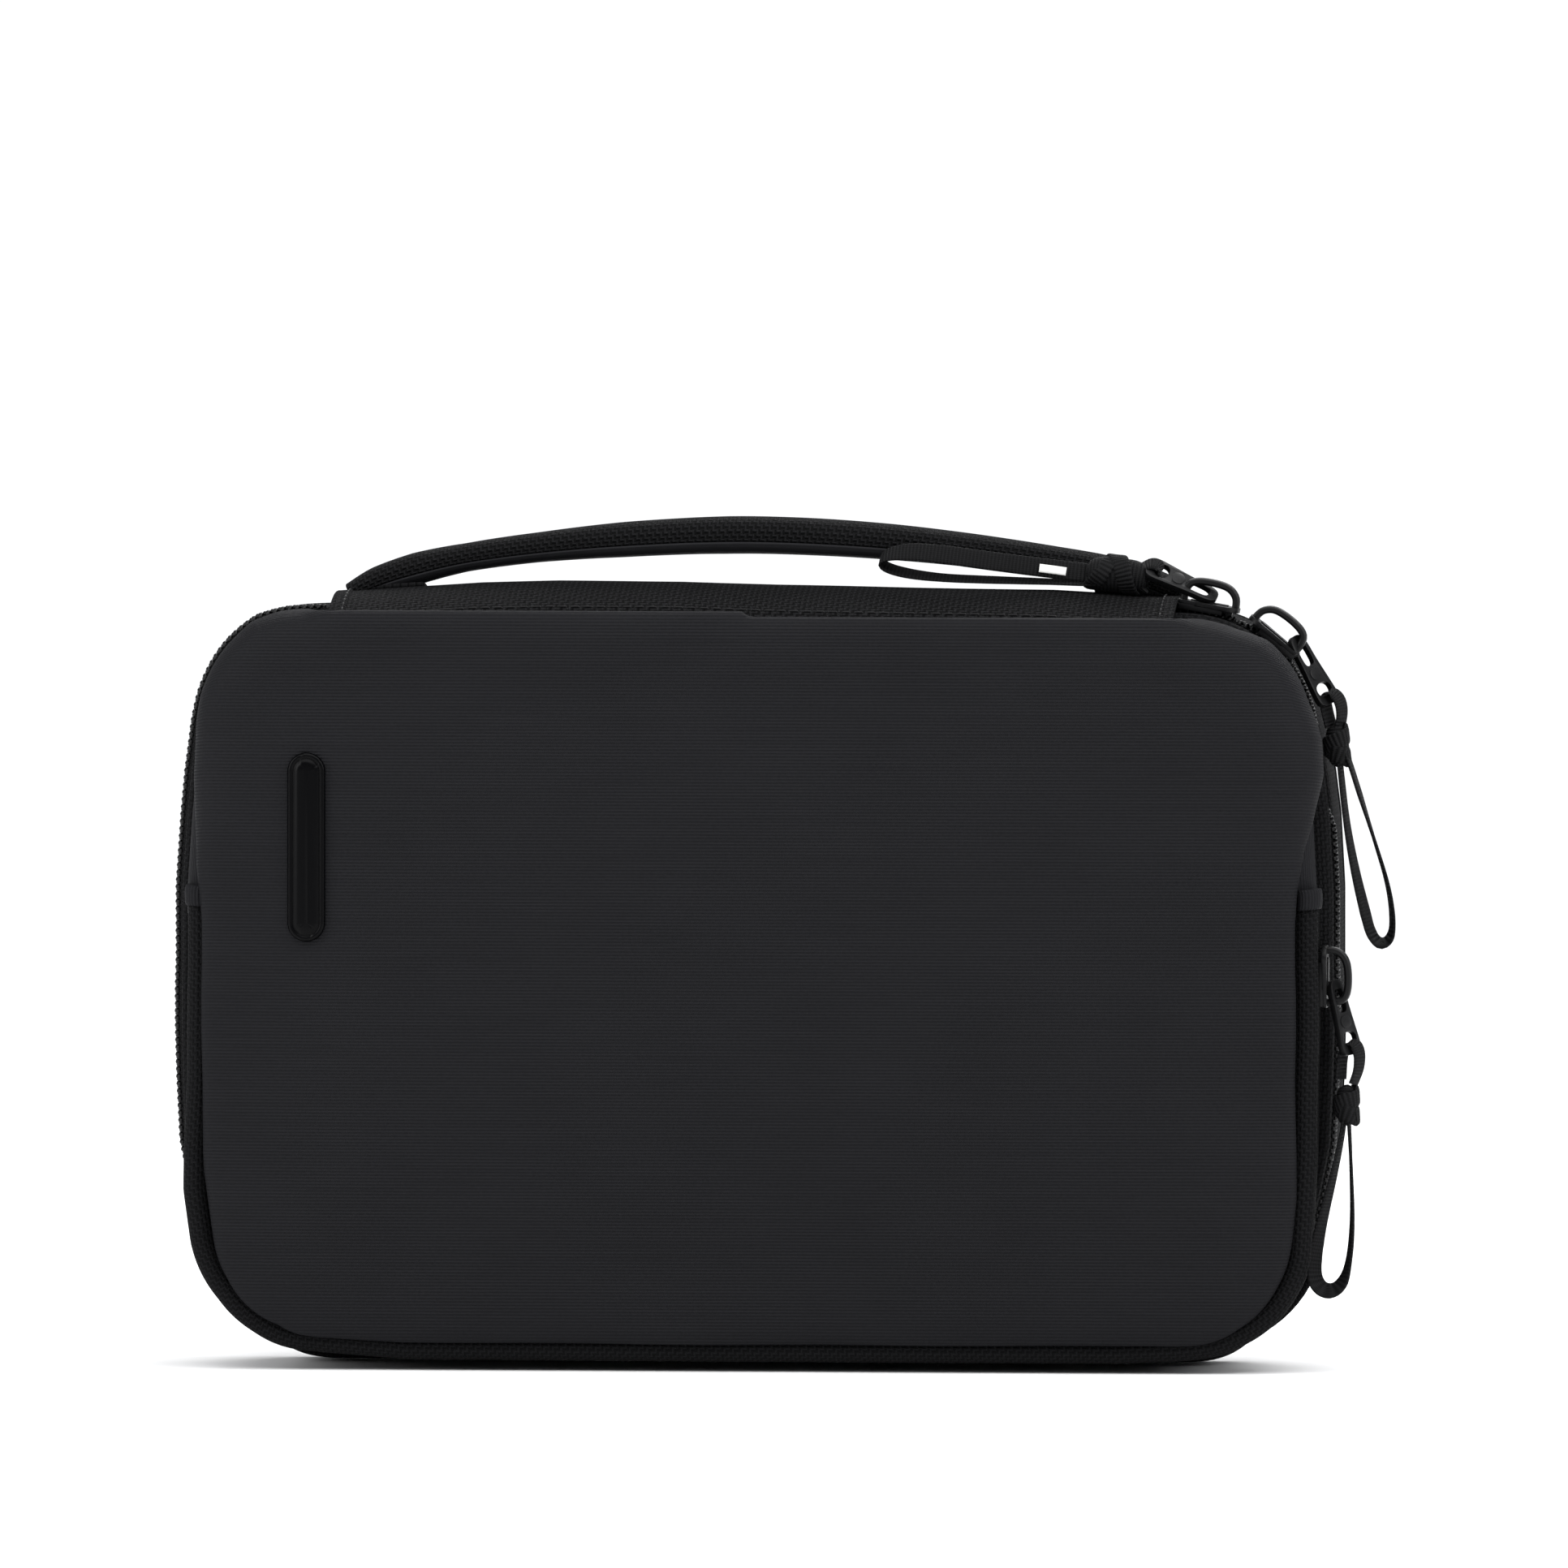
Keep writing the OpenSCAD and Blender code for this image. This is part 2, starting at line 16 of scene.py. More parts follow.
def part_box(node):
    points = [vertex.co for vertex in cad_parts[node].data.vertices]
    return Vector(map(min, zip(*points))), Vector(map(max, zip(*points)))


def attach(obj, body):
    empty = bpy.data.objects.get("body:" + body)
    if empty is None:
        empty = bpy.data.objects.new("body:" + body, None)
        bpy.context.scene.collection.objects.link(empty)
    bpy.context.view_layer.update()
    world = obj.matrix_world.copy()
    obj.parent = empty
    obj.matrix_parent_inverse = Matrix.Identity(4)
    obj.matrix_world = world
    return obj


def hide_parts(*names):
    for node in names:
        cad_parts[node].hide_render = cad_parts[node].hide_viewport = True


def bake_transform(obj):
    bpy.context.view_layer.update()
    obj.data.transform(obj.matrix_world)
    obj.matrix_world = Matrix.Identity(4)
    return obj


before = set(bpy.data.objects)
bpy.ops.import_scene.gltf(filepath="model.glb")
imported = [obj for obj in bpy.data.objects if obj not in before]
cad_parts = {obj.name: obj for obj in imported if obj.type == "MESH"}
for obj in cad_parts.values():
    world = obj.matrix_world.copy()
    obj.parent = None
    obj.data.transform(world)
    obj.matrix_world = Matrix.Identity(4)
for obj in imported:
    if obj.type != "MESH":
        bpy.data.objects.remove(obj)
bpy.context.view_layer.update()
MM = 0.001

# %% [markdown]
# The camera stands far away with a long lens, so that the pouch hardly tapers, a little to the right
# and a little above the pouch's middle. A soft overhead sun and three wide panels of light stand for a
# studio's softboxes. The floor is one pale disc, wide enough that its edge is never in the picture.

# %% Camera, floor and light
LENS = 800
HALF_SENSOR = 18
VIEW_WIDTH = 328.4
AIM = Vector((5.1, 0, 121.4)) * MM
YAW, RISE = math.radians(5), math.radians(2.5)


def direction(azimuth, elevation):
    """Unit vector from the object towards a viewer: azimuth 0 is in front (-Y), turning towards +X."""
    flat = math.cos(elevation)
    return Vector((math.sin(azimuth) * flat, -math.cos(azimuth) * flat, math.sin(elevation)))


camera_data = bpy.data.cameras.new("camera")
camera_data.lens = LENS
camera_data.clip_end = 60
camera = bpy.data.objects.new("camera", camera_data)
bpy.context.scene.collection.objects.link(camera)
away = direction(YAW, RISE)
camera.location = AIM + away * (VIEW_WIDTH * MM / 2 * LENS / HALF_SENSOR)
camera.rotation_euler = (-away).to_track_quat("-Z", "Y").to_euler()
bpy.context.scene.camera = camera
bpy.context.scene.view_settings.view_transform = "Standard"
print("camera at", round((camera.location - AIM).length, 2), "m")


def lamp(name, kind, azimuth, elevation, power, size, far=1.2):
    """A light on the sphere of radius far round the pouch, turned to face it."""
    data = bpy.data.lights.new(name, kind)
    data.energy = power
    if kind == "SUN":
        data.angle = math.radians(size)
    else:
        data.shape = "RECTANGLE"
        data.size, data.size_y = size
    obj = bpy.data.objects.new(name, data)
    bpy.context.scene.collection.objects.link(obj)
    toward = direction(math.radians(azimuth), math.radians(elevation))
    obj.location = Vector((0, 0, 0.08)) + toward * far
    obj.rotation_euler = toward.to_track_quat("Z", "Y").to_euler()
    return obj


lamp("overhead_sun", "SUN", 20, 72, 2.6, 70)
lamp("left_softbox", "AREA", -62, 24, 7, (0.5, 0.9))
lamp("right_softbox", "AREA", 68, 30, 6, (0.5, 0.9))
lamp("rear_softbox", "AREA", 170, 38, 6, (1.0, 0.5))

# %% [markdown]
# A colour is written as an sRGB hex value, as a paint or fabric chart gives it, and turned to the
# linear values that the shader works with.

# %% Colours and nodes


def linear(code):
    """sRGB hex to linear RGBA: c/12.92 below 0.04045, else ((c + 0.055)/1.055) to the power 2.4."""
    value = [int(code[i:i + 2], 16) / 255 for i in (1, 3, 5)]
    return [c / 12.92 if c <= 0.04045 else ((c + 0.055) / 1.055) ** 2.4 for c in value] + [1.0]


def add(tree, kind, inputs=None, **settings):
    """Adds one node. settings are its own properties; inputs maps a socket's name or number to a
    value or to the socket that feeds it."""
    node = tree.nodes.new(kind)
    for key, value in settings.items():
        setattr(node, key, value)
    for key, value in (inputs or {}).items():
        if isinstance(value, bpy.types.NodeSocket):
            tree.links.new(value, node.inputs[key])
        else:
            node.inputs[key].default_value = value
    return node

# %% [markdown]
# The room is a plain white. The camera sees it at full strength, while the pouch is lit by less of it, so
# that the background stays white and black cloth stays black. A light path node tells the two apart.

# %% The white room
world = bpy.data.worlds.new("white_room")
world.use_nodes = True
bpy.context.scene.world = world
sky = world.node_tree
sky.nodes.clear()
seen = add(sky, "ShaderNodeBackground", {"Color": linear("#ffffff"), "Strength": 1.0})
FILL = 0.42
fill = add(sky, "ShaderNodeBackground", {"Color": linear("#f4f6fa"), "Strength": FILL})
ray = add(sky, "ShaderNodeLightPath")
both = add(sky, "ShaderNodeMixShader", {0: ray.outputs["Is Camera Ray"], 1: fill.outputs[0],
                                        2: seen.outputs[0]})
add(sky, "ShaderNodeOutputWorld", {"Surface": both.outputs[0]})
print("room light:", FILL)

# %% [markdown]
# A mesh here is always a grid of points, worked out as one array: rows run along a path, and columns
# go round or across it. `grid` turns such an array into quads, closes it where the shape closes, and
# writes a UV map in millimetres, which the woven materials read.

# %% From an array of points to a mesh


def build(name, verts, faces, uv=None):
    """Makes a smooth-shaded mesh object from points in millimetres, with its origin at the world's."""
    mesh = bpy.data.meshes.new(name)
    mesh.from_pydata((np.asarray(verts, float).reshape(-1, 3) * MM).tolist(), [], faces)
    if uv is not None:
        layer = mesh.uv_layers.new(name="cloth")
        full = np.zeros((len(mesh.loops), 2), np.float32)
        full[:len(uv)] = uv
        layer.data.foreach_set("uv", full.ravel())
    mesh.polygons.foreach_set("use_smooth", np.ones(len(mesh.polygons), bool))
    mesh.update()
    obj = bpy.data.objects.new(name, mesh)
    bpy.context.scene.collection.objects.link(obj)
    return obj


def lengths(points):
    """Distance travelled along a line of points, starting at 0."""
    return np.concatenate([[0], np.cumsum(np.linalg.norm(np.diff(points, axis=0), axis=-1))])

# %% [markdown]
# A quad needs its four corners in turn. Their numbers are sums of a row's and a column's number, so all
# the quads of a grid come out of a few array additions, with no loop. Turning the order over turns the
# face over, which is what `flip` is for.

# %% Quads of a grid


def grid_faces(rows, cols, ring=False, start=0, flip=False):
    """Quads of a rows by cols grid, whose corners are numbered from start. ring closes it across."""
    i = np.arange(rows - 1)[:, None]
    j = np.arange(cols if ring else cols - 1)[None, :]
    a = i * cols + j
    b = (i + 1) * cols + j
    c = (i + 1) * cols + (j + 1) % cols
    d = i * cols + (j + 1) % cols
    order = (a, d, c, b) if flip else (a, b, c, d)
    return np.stack(np.broadcast_arrays(*order), -1).reshape(-1, 4) + start


def grid(name, points, ring=False, caps=False, flip=False):
    """A grid of quads from an array of rows x cols x 3. caps closes both ends of a tube."""
    rows, cols = points.shape[:2]
    along = lengths(points[:, cols // 2])
    around = lengths(points[rows // 2])
    last_step = np.linalg.norm(points[rows // 2, 0] - points[rows // 2, -1])
    around = np.append(around, around[-1] + last_step)
    i = np.repeat(np.arange(rows - 1), cols if ring else cols - 1)
    j = np.tile(np.arange(cols if ring else cols - 1), rows - 1)
    corners = [(i, j), (i + 1, j), (i + 1, j + 1), (i, j + 1)]
    if flip:
        corners = [corners[k] for k in (0, 3, 2, 1)]
    uv = np.stack([np.stack([along[p], around[q]], -1) for p, q in corners], 1).reshape(-1, 2)
    faces = grid_faces(rows, cols, ring, flip=flip).tolist()
    if caps:
        first, last = list(range(cols)), list(range((rows - 1) * cols, rows * cols))
        faces += [first[::-1], last] if flip else [first, last[::-1]]
    return build(name, points, faces, uv)

# %% [markdown]
# Two more helpers. Small closed shapes, such as a slider's plates, are joined into one piece. A path is
# given by a few corners and then softened, which is how cloth takes a corner.

# %% Joined shapes and softened paths


def join(parts):
    """One list of points and one of faces from several closed shapes."""
    verts, faces, start = [], [], 0
    for points, polygons in parts:
        verts.append(points)
        faces += [[k + start for k in face] for face in polygons]
        start += len(points)
    return np.vstack(verts), faces


def rounded(corners, count, closed=False, rounds=3):
    """Softens a path by cutting every corner at a quarter and three quarters (Chaikin's rule), then
    spaces count points evenly along it."""
    path = np.asarray(corners, float)
    for _ in range(rounds):
        after = np.roll(path, -1, 0)
        cut = np.stack([0.75 * path + 0.25 * after, 0.25 * path + 0.75 * after], 1).reshape(-1,
                path.shape[1])
        path = cut if closed else np.vstack([path[:1], cut[1:-3], path[-1:]])
    if closed:
        path = np.vstack([path, path[:1]])
    where = lengths(path)
    spots = np.linspace(0, where[-1], count + 1 if closed else count)
    path = np.stack([np.interp(spots, where, path[:, k]) for k in range(path.shape[1])], -1)
    return path[:-1] if closed else path


def step_up(value, low, high):
    """0 below low, 1 above high, and 3t^2 - 2t^3 between them."""
    t = np.clip((np.asarray(value, float) - low) / (high - low), 0, 1)
    return t * t * (3 - 2 * t)

# %% [markdown]
# Seen from the front the pouch is a rounded rectangle that is widest a little below its middle. That
# outline is the rail for most of the sewing: gussets, tapes and teeth all run along it, at some depth
# in from it and some place from front to back. Its arcs are those that the zip sliders run on.

# %% The outline


def mm_box(node):
    """Lowest and highest corner of a CAD node, in millimetres."""
    low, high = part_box(node)
    return np.array(low) / MM, np.array(high) / MM


HALF, TOP = mm_box("back_gusset")[1][[0, 2]]
ZIP_Y = mm_box("corner_zip_coil")[0][1] / 2 + mm_box("corner_zip_coil")[1][1] / 2
POCKET_Y = mm_box("upper_pocket_zip_coil")[0][1] / 2 + mm_box("upper_pocket_zip_coil")[1][1] / 2
ARC_R = 28
SHOULDER_IN, FOOT_IN = 4.5, 2.5
SHOULDER = np.array([HALF - SHOULDER_IN - ARC_R, TOP - ARC_R])
FOOT = np.array([HALF - FOOT_IN - ARC_R, ARC_R])
BELLY_Z = 75


def outline():
    """Right side from the top middle down: an arc, two straights that meet at the belly, an arc. The
    left side is its mirror image. Points are evenly spaced, and a Gaussian of 3 mm eases the joints."""
    a = np.radians(np.linspace(90, 0, 60))[:, None]
    turn = np.hstack([np.cos(a), np.sin(a)])
    right = np.vstack([SHOULDER + ARC_R * turn, [[HALF, BELLY_Z]], (FOOT + ARC_R * turn[::-1] * [1, -1])])
    ring = np.vstack([[[0, TOP]], right, [[0, 0]], right[::-1] * [-1, 1], [[0, TOP]]])
    where = lengths(ring)
    count = int(where[-1] * 2)
    spots = np.arange(count) * where[-1] / count
    ring = np.stack([np.interp(spots, where, ring[:, k]) for k in (0, 1)], -1)
    pull = np.exp(-0.5 * (np.fft.fftfreq(count) * 2 * np.pi * 6) ** 2)[:, None]
    return np.fft.ifft(np.fft.fft(ring, axis=0) * pull, axis=0).real, where[-1]

# %% [markdown]
# A filled pouch isn't quite its pattern: each side bulges by a millimetre or two, and not evenly. Such
# measures are short lists of height and value, one list for each side. They are read with linear
# interpolation, and the outline is pushed outwards by them.

# %% How full each side is


def by_height(points, left, right):
    """Reads a value from one of two short lists of (height, value), the left side's or the right's.
    Along the bottom, where every height is 0, the list goes on below 0: a tenth of the way in."""
    x, z = points[..., 0], points[..., 1]
    key = np.where(z < 1, z - 0.1 * np.maximum(92 - np.abs(x), 0), z)
    low, high = [np.array(sorted(side)).T for side in (left, right)]
    return np.where(x < 0, np.interp(key, *low), np.interp(key, *high))


def outward(ring):
    """Unit normals of a clockwise ring of points, from the difference of each one's neighbours."""
    ahead = np.roll(ring, -1, 0) - np.roll(ring, 1, 0)
    ahead /= np.linalg.norm(ahead, axis=1)[:, None]
    return np.stack([-ahead[:, 1], ahead[:, 0]], -1)


RING, ROUND = outline()
FULL_LEFT = [(28, 0), (36, .3), (45, .6), (60, .5), (75, .1), (85, .6), (100, 1.8), (115, 2.0), (124, 1.9),
             (131, 1.5), (137, 1.4), (144, 1.7), (150, 2.1), (155, 2.2), (157.5, 1.2), (158.9, 0.2)]
FULL_RIGHT = [(28, 0), (36, .3), (45, .6), (60, .5), (75, .1), (85, .6), (100, 1.8), (115, 2.2), (124, 1.8),
              (131, 1.1), (140, .2), (150, 0), (159, 0)]
OUTWARD = outward(RING)
RING = RING + OUTWARD * by_height(RING, FULL_LEFT, FULL_RIGHT)[:, None]
SPOTS = np.arange(len(RING) + 1) * ROUND / len(RING)
print("outline", round(ROUND, 1), "mm round")

# %% [markdown]
# From here on a place on the pouch is a distance along the outline, clockwise from the top middle, with
# an inset from it and a depth. These functions turn such places into points.

# %% Walking along the outline


def on_ring(values, s):
    """Reads a ring of values at distances s along the outline, which may run past its start."""
    wrapped = np.vstack([values, values[:1]])
    return np.stack([np.interp(np.asarray(s) % ROUND, SPOTS, wrapped[:, k]) for k in (0, 1)], -1)


def spot(x, z):
    """Distance along the outline of its point nearest to (x, z)."""
    return SPOTS[np.argmin(np.linalg.norm(RING - [x, z], axis=1))]


def along_edge(s, inset, y):
    """Points at distances s along the outline, moved in by inset, at depth y. Arrays broadcast."""
    s = np.asarray(s, float)
    point, out = on_ring(RING, s), on_ring(OUTWARD, s)
    inset, y = np.broadcast_arrays(np.atleast_2d(inset), np.atleast_2d(y))
    flat = point[:, None, :] - out[:, None, :] * inset[..., None]
    y = np.broadcast_to(y, flat.shape[:2])
    return np.stack([flat[..., 0], y, flat[..., 1]], -1)


def stretch(start, end, step=1.5):
    """Evenly spaced distances from start on to end, going clockwise, past the top if need be."""
    span = (end - start) % ROUND
    return start + np.linspace(0, span, max(int(span / step), 4))

# %% [markdown]
# ## Finishes
# Everything is black, so the materials differ in weave, sheen and roughness rather than in hue. Each
# weave is drawn from the distances in the UV map, at its real thread spacing.


def cloth(name, colour, rough, pattern, depth, sheen=0.0, gloss=0.25, vary=0.25):
    """A woven or coated cloth. pattern(tree, u, v) gives a height from 0 to 1; its hollows carry painted
    shade and its raised threads painted light, and depth is how far in millimetres its threads stand up."""
    material = bpy.data.materials.new(name)
    material.use_nodes = True
    tree = material.node_tree
    tree.nodes.clear()
    uv = add(tree, "ShaderNodeUVMap", uv_map="cloth")
    axes = add(tree, "ShaderNodeSeparateXYZ", {0: uv.outputs[0]})
    height = pattern(tree, axes.outputs[0], axes.outputs[1])
    blotch = add(tree, "ShaderNodeTexNoise", {"Vector": uv.outputs[0], "Scale": 0.05, "Detail": 3.0})
    worn = add(tree, "ShaderNodeMath", {0: blotch.outputs[0], 1: 0.3}, operation="MULTIPLY")
    lift = add(tree, "ShaderNodeMath", {0: height, 1: worn.outputs[0]}, operation="ADD")
    # Painted shade in the weave's hollows and painted light on its raised threads, by the weave's height,
    # plus a random blotch of tone.
    bright = linear(colour)
    dark = [c * (1 - vary) for c in bright[:3]] + [1]
    light = [c * (1 + vary) for c in bright[:3]] + [1]
    weave_shade_and_tone = add(tree, "ShaderNodeMix", {0: lift.outputs[0], 6: dark, 7: light}, data_type="RGBA")
    bump = add(tree, "ShaderNodeBump", {"Height": height, "Strength": 1.0, "Distance": depth * MM})
    skin = add(tree, "ShaderNodeBsdfPrincipled", {
        "Base Color": weave_shade_and_tone.outputs[2], "Roughness": rough, "Specular IOR Level": gloss,
        "Sheen Weight": sheen, "Sheen Roughness": 0.5, "Normal": bump.outputs[0]})
    add(tree, "ShaderNodeOutputMaterial", {"Surface": skin.outputs[0]})
    return material

# %% [markdown]
# A weave is built from waves. One wave gives ribs, a sum or product of two gives a grid, and a chequer
# that swaps warp and weft gives a plain weave. Each pattern is a function that adds its nodes and
# returns a height.

# %% Weaves


def wave(tree, value, pitch):
    """(1 + sin(2 pi value / pitch)) / 2, with threads pitch millimetres apart."""
    turn = add(tree, "ShaderNodeMath", {0: value, 1: 2 * math.pi / pitch}, operation="MULTIPLY")
    sine = add(tree, "ShaderNodeMath", {0: turn.outputs[0]}, operation="SINE")
    return add(tree, "ShaderNodeMath", {0: sine.outputs[0], 1: 0.5, 2: 0.5},
               operation="MULTIPLY_ADD").outputs[0]


def combine(tree, operation, a, b):
    """One sum, product or the like of two values."""
    return add(tree, "ShaderNodeMath", {0: a, 1: b}, operation=operation).outputs[0]


def coated_rib(tree, u, v):
    """Fine crosswise ribs, 0.7 mm apart, that come and go: the coating fills some of them."""
    place = add(tree, "ShaderNodeCombineXYZ", {0: combine(tree, "MULTIPLY", u, 0.03),
                                               1: combine(tree, "MULTIPLY", v, 0.75)})
    slub = add(tree, "ShaderNodeTexNoise", {"Vector": place.outputs[0], "Scale": 1.0, "Detail": 4.0,
                                            "Roughness": 0.65})
    grain = add(tree, "ShaderNodeTexNoise", {
        "Vector": add(tree, "ShaderNodeCombineXYZ", {0: combine(tree, "MULTIPLY", u, 1.1),
                                                     1: v}).outputs[0],
        "Scale": 1.4, "Detail": 2.0})
    rib = combine(tree, "MULTIPLY", wave(tree, v, 0.68), slub.outputs[0])
    return combine(tree, "ADD", rib, combine(tree, "MULTIPLY", grain.outputs[0], 0.5))


def basket(pitch):
    """Plain weave: warp and weft bulge between crossings, and a chequer says which one is on top."""
    def pattern(tree, u, v):
        over = wave(tree, u, pitch)
        under = wave(tree, v, pitch)
        place = add(tree, "ShaderNodeCombineXYZ", {0: u, 1: v})
        turn = add(tree, "ShaderNodeTexChecker", {"Vector": place.outputs[0], "Scale": 1 / pitch,
                                                  "Color1": (1, 1, 1, 1), "Color2": (0, 0, 0, 1)})
        mixed = add(tree, "ShaderNodeMix", {0: turn.outputs[1], 2: over, 3: under}, data_type="FLOAT")
        fray = add(tree, "ShaderNodeTexNoise", {"Vector": place.outputs[0], "Scale": 2.2 / pitch})
        return combine(tree, "MULTIPLY", mixed.outputs[0], combine(tree, "ADD", fray.outputs[0], 0.5))
    return pattern


def twill(pitch):
    """Diagonal ridges, as on zip tape and binding."""
    def pattern(tree, u, v):
        return combine(tree, "MULTIPLY", wave(tree, combine(tree, "ADD", u, v), pitch),
                       wave(tree, u, pitch * 0.7))
    return pattern


def cross_rib(pitch):
    """Ribs across the length, as on grosgrain ribbon and elastic."""
    def pattern(tree, u, v):
        return combine(tree, "ADD", combine(tree, "MULTIPLY", wave(tree, u, pitch), 0.8),
                       combine(tree, "MULTIPLY", wave(tree, v, pitch * 0.6), 0.2))
    return pattern

# %% [markdown]
# The cloths themselves. Colours are very dark greys, since black cloth is never quite black. Gloss is
# far below a plastic's, because a weave hides most of its own highlights. Thread spacings are the real
# ones in millimetres, except where a comment says that they were drawn coarser to show at all.

# %% The cloths
# Woven nylon, coated on its face: smooth, with streaks where the coating fills the ribs.
coated_nylon = cloth("coated_nylon", "#18181a", 0.65, coated_rib, 0.2, gloss=0.06,
                     vary=0.45)
# Thick twisted yarn in a plain weave: deep and matt, with strong painted shade between its threads and
# painted light on them.
ballistic_nylon = cloth("ballistic_nylon", "#161617", 0.8, basket(1.15), 0.8, gloss=0.05,
                        vary=0.95)
# The same yarn, thinner. It lies in shade, so it is drawn darker.
gusset_nylon = cloth("gusset_nylon", "#101011", 0.8, basket(0.9), 0.25, gloss=0.06,
                     vary=0.6)
# Webbing of the handle: tight, slightly raised, with strong painted shade between its threads and painted
# light on them.
handle_weave = cloth("handle_weave", "#121213", 0.8, basket(0.85), 0.5, gloss=0.06,
                     vary=0.9)
# Smooth cloth under the handle, a little shinier than its top, and painted lighter than it: a painted
# reflection of the light from below.
handle_nylon_painted_reflection = cloth("handle_nylon_painted_reflection", "#222224", 0.65, coated_rib, 0.03, gloss=0.1)
# Polyester tape in a herringbone. Its real threads are 0.3 mm apart, and 0.7 mm is drawn.
zip_tape = cloth("polyester_tape", "#0b0b0c", 0.8, twill(0.7), 0.15, gloss=0.06, vary=0.6)
# Twill binding over raw edges, matt black.
edge_binding = cloth("twill_binding", "#0d0d0e", 0.8, twill(0.9), 0.2, gloss=0.06, vary=0.6)
# Plain polyester lining: grey, thin, with a faint sheen.
lining_cloth = cloth("polyester_lining", "#242528", 0.6, twill(0.45), 0.03, sheen=0.1, gloss=0.3)
# Grosgrain: ribs across its length, each one a step in the light, with painted shade between the ribs.
# Drawn at 0.75 mm, real 0.5 mm.
grosgrain = cloth("grosgrain_ribbon", "#101011", 0.7, cross_rib(0.75), 0.22, gloss=0.1, vary=0.6)
# Woven elastic, with wider ribs than a ribbon's.
ribbed_elastic = cloth("ribbed_elastic", "#161617", 0.7, cross_rib(1.1), 0.2, gloss=0.08,
                       vary=0.5)
# Knitted polyester net: the holes are real, so this is its yarn alone.
knit_mesh = cloth("knitted_mesh", "#1b1b1d", 0.7, twill(0.5), 0.05, gloss=0.2)
# A small woven patch in white, plain.
white_patch = cloth("woven_white_patch", "#e9e9e6", 0.7, twill(0.5), 0.04, vary=0.03)

# %% [markdown]
# Hard parts are one colour each. What tells them apart is how their surface was made: drawn nylon has a
# soft gloss, enamel baked on zinc has a slight orange peel, and moulded rubber is smooth. A noise in
# Object coordinates varies the roughness and lifts the surface by a hundredth of a millimetre.

# %% Moulded and enamelled parts


def moulded(name, colour, rough, grain, depth, gloss=0.3, coat=0.0):
    """A moulded or enamelled surface: one colour, with a fine grain that breaks up its highlights."""
    material = bpy.data.materials.new(name)
    material.use_nodes = True
    tree = material.node_tree
    tree.nodes.clear()
    place = add(tree, "ShaderNodeTexCoord")
    noise = add(tree, "ShaderNodeTexNoise", {"Vector": place.outputs["Object"], "Scale": 1 / (grain * MM),
                                             "Detail": 3.0})
    polish = add(tree, "ShaderNodeMapRange", {0: noise.outputs[0], 3: rough - 0.06, 4: rough + 0.08})
    bump = add(tree, "ShaderNodeBump", {"Height": noise.outputs[0], "Strength": 0.6,
                                        "Distance": depth * MM})
    skin = add(tree, "ShaderNodeBsdfPrincipled", {
        "Base Color": linear(colour), "Roughness": polish.outputs[0], "Specular IOR Level": gloss,
                                                  "Coat Weight": coat,
        "Coat Roughness": 0.12, "Normal": bump.outputs[0]})
    add(tree, "ShaderNodeOutputMaterial", {"Surface": skin.outputs[0]})
    return material


# Drawn nylon thread, wound into a coil: black, with a soft gloss.
coil_nylon = moulded("coil_nylon", "#050506", 0.4, 0.4, 0.01, gloss=0.22)
# Zinc, die-cast and enamelled: the metal never shows, so it isn't metallic.
black_enamel = moulded("black_enamel", "#0a0a0b", 0.4, 0.25, 0.02, gloss=0.2)
# Rubber moulded in a polished tool: blacker than any cloth here.
gloss_rubber = moulded("gloss_rubber", "#010102", 0.3, 0.5, 0.01, gloss=0.08)
# Bonded polyester sewing thread, slightly lighter than what it sews.
thread = moulded("bonded_thread", "#19191a", 0.5, 0.3, 0.01, gloss=0.15)

# %% [markdown]
# Three helpers end most pieces. One gives the material, the body that the piece moves with and the CAD
# nodes that it stands for. The others give a sheet its thickness and round sharp edges.

# %% Finishing a piece


def finish(obj, body, material, *nodes, bend=None):
    """Gives a piece its material and the CAD nodes that it stands for, and without bend its body. With bend
    the piece's transform is only baked in: it gets no body, and the pair of points is not used."""
    obj.data.materials.clear()
    obj.data.materials.append(material)
    if bend is None:
        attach(obj, body)
    else:
        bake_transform(obj)
    if nodes:
        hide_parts(*nodes)
    return obj


def thicken(obj, depth, offset=-1):
    """Solidify: gives a sheet a thickness in millimetres, inwards by default."""
    wall = obj.modifiers.new("thickness", "SOLIDIFY")
    wall.thickness = depth * MM
    wall.offset = offset
    return obj


def soften(obj, width, segments=2, angle=35):
    """Bevel: rounds the edges that are sharper than angle."""
    edge = obj.modifiers.new("edges", "BEVEL")
    edge.width = width * MM
    edge.segments = segments
    edge.limit_method = "ANGLE"
    edge.angle_limit = math.radians(angle)
    return obj

# %% [markdown]
# ## Padded panels
# A sewn panel is flat foam under cloth: it rises fast at its seam, then crowns gently. The mesh runs in
# rings from the seam to a short line in the middle, so its rows follow the seam all the way round.

# %% How a panel is laid out
STATIONS = 560
PANEL_S = np.arange(STATIONS) * ROUND / STATIONS
MIDDLE_X, MIDDLE_Z = 62, 80.0


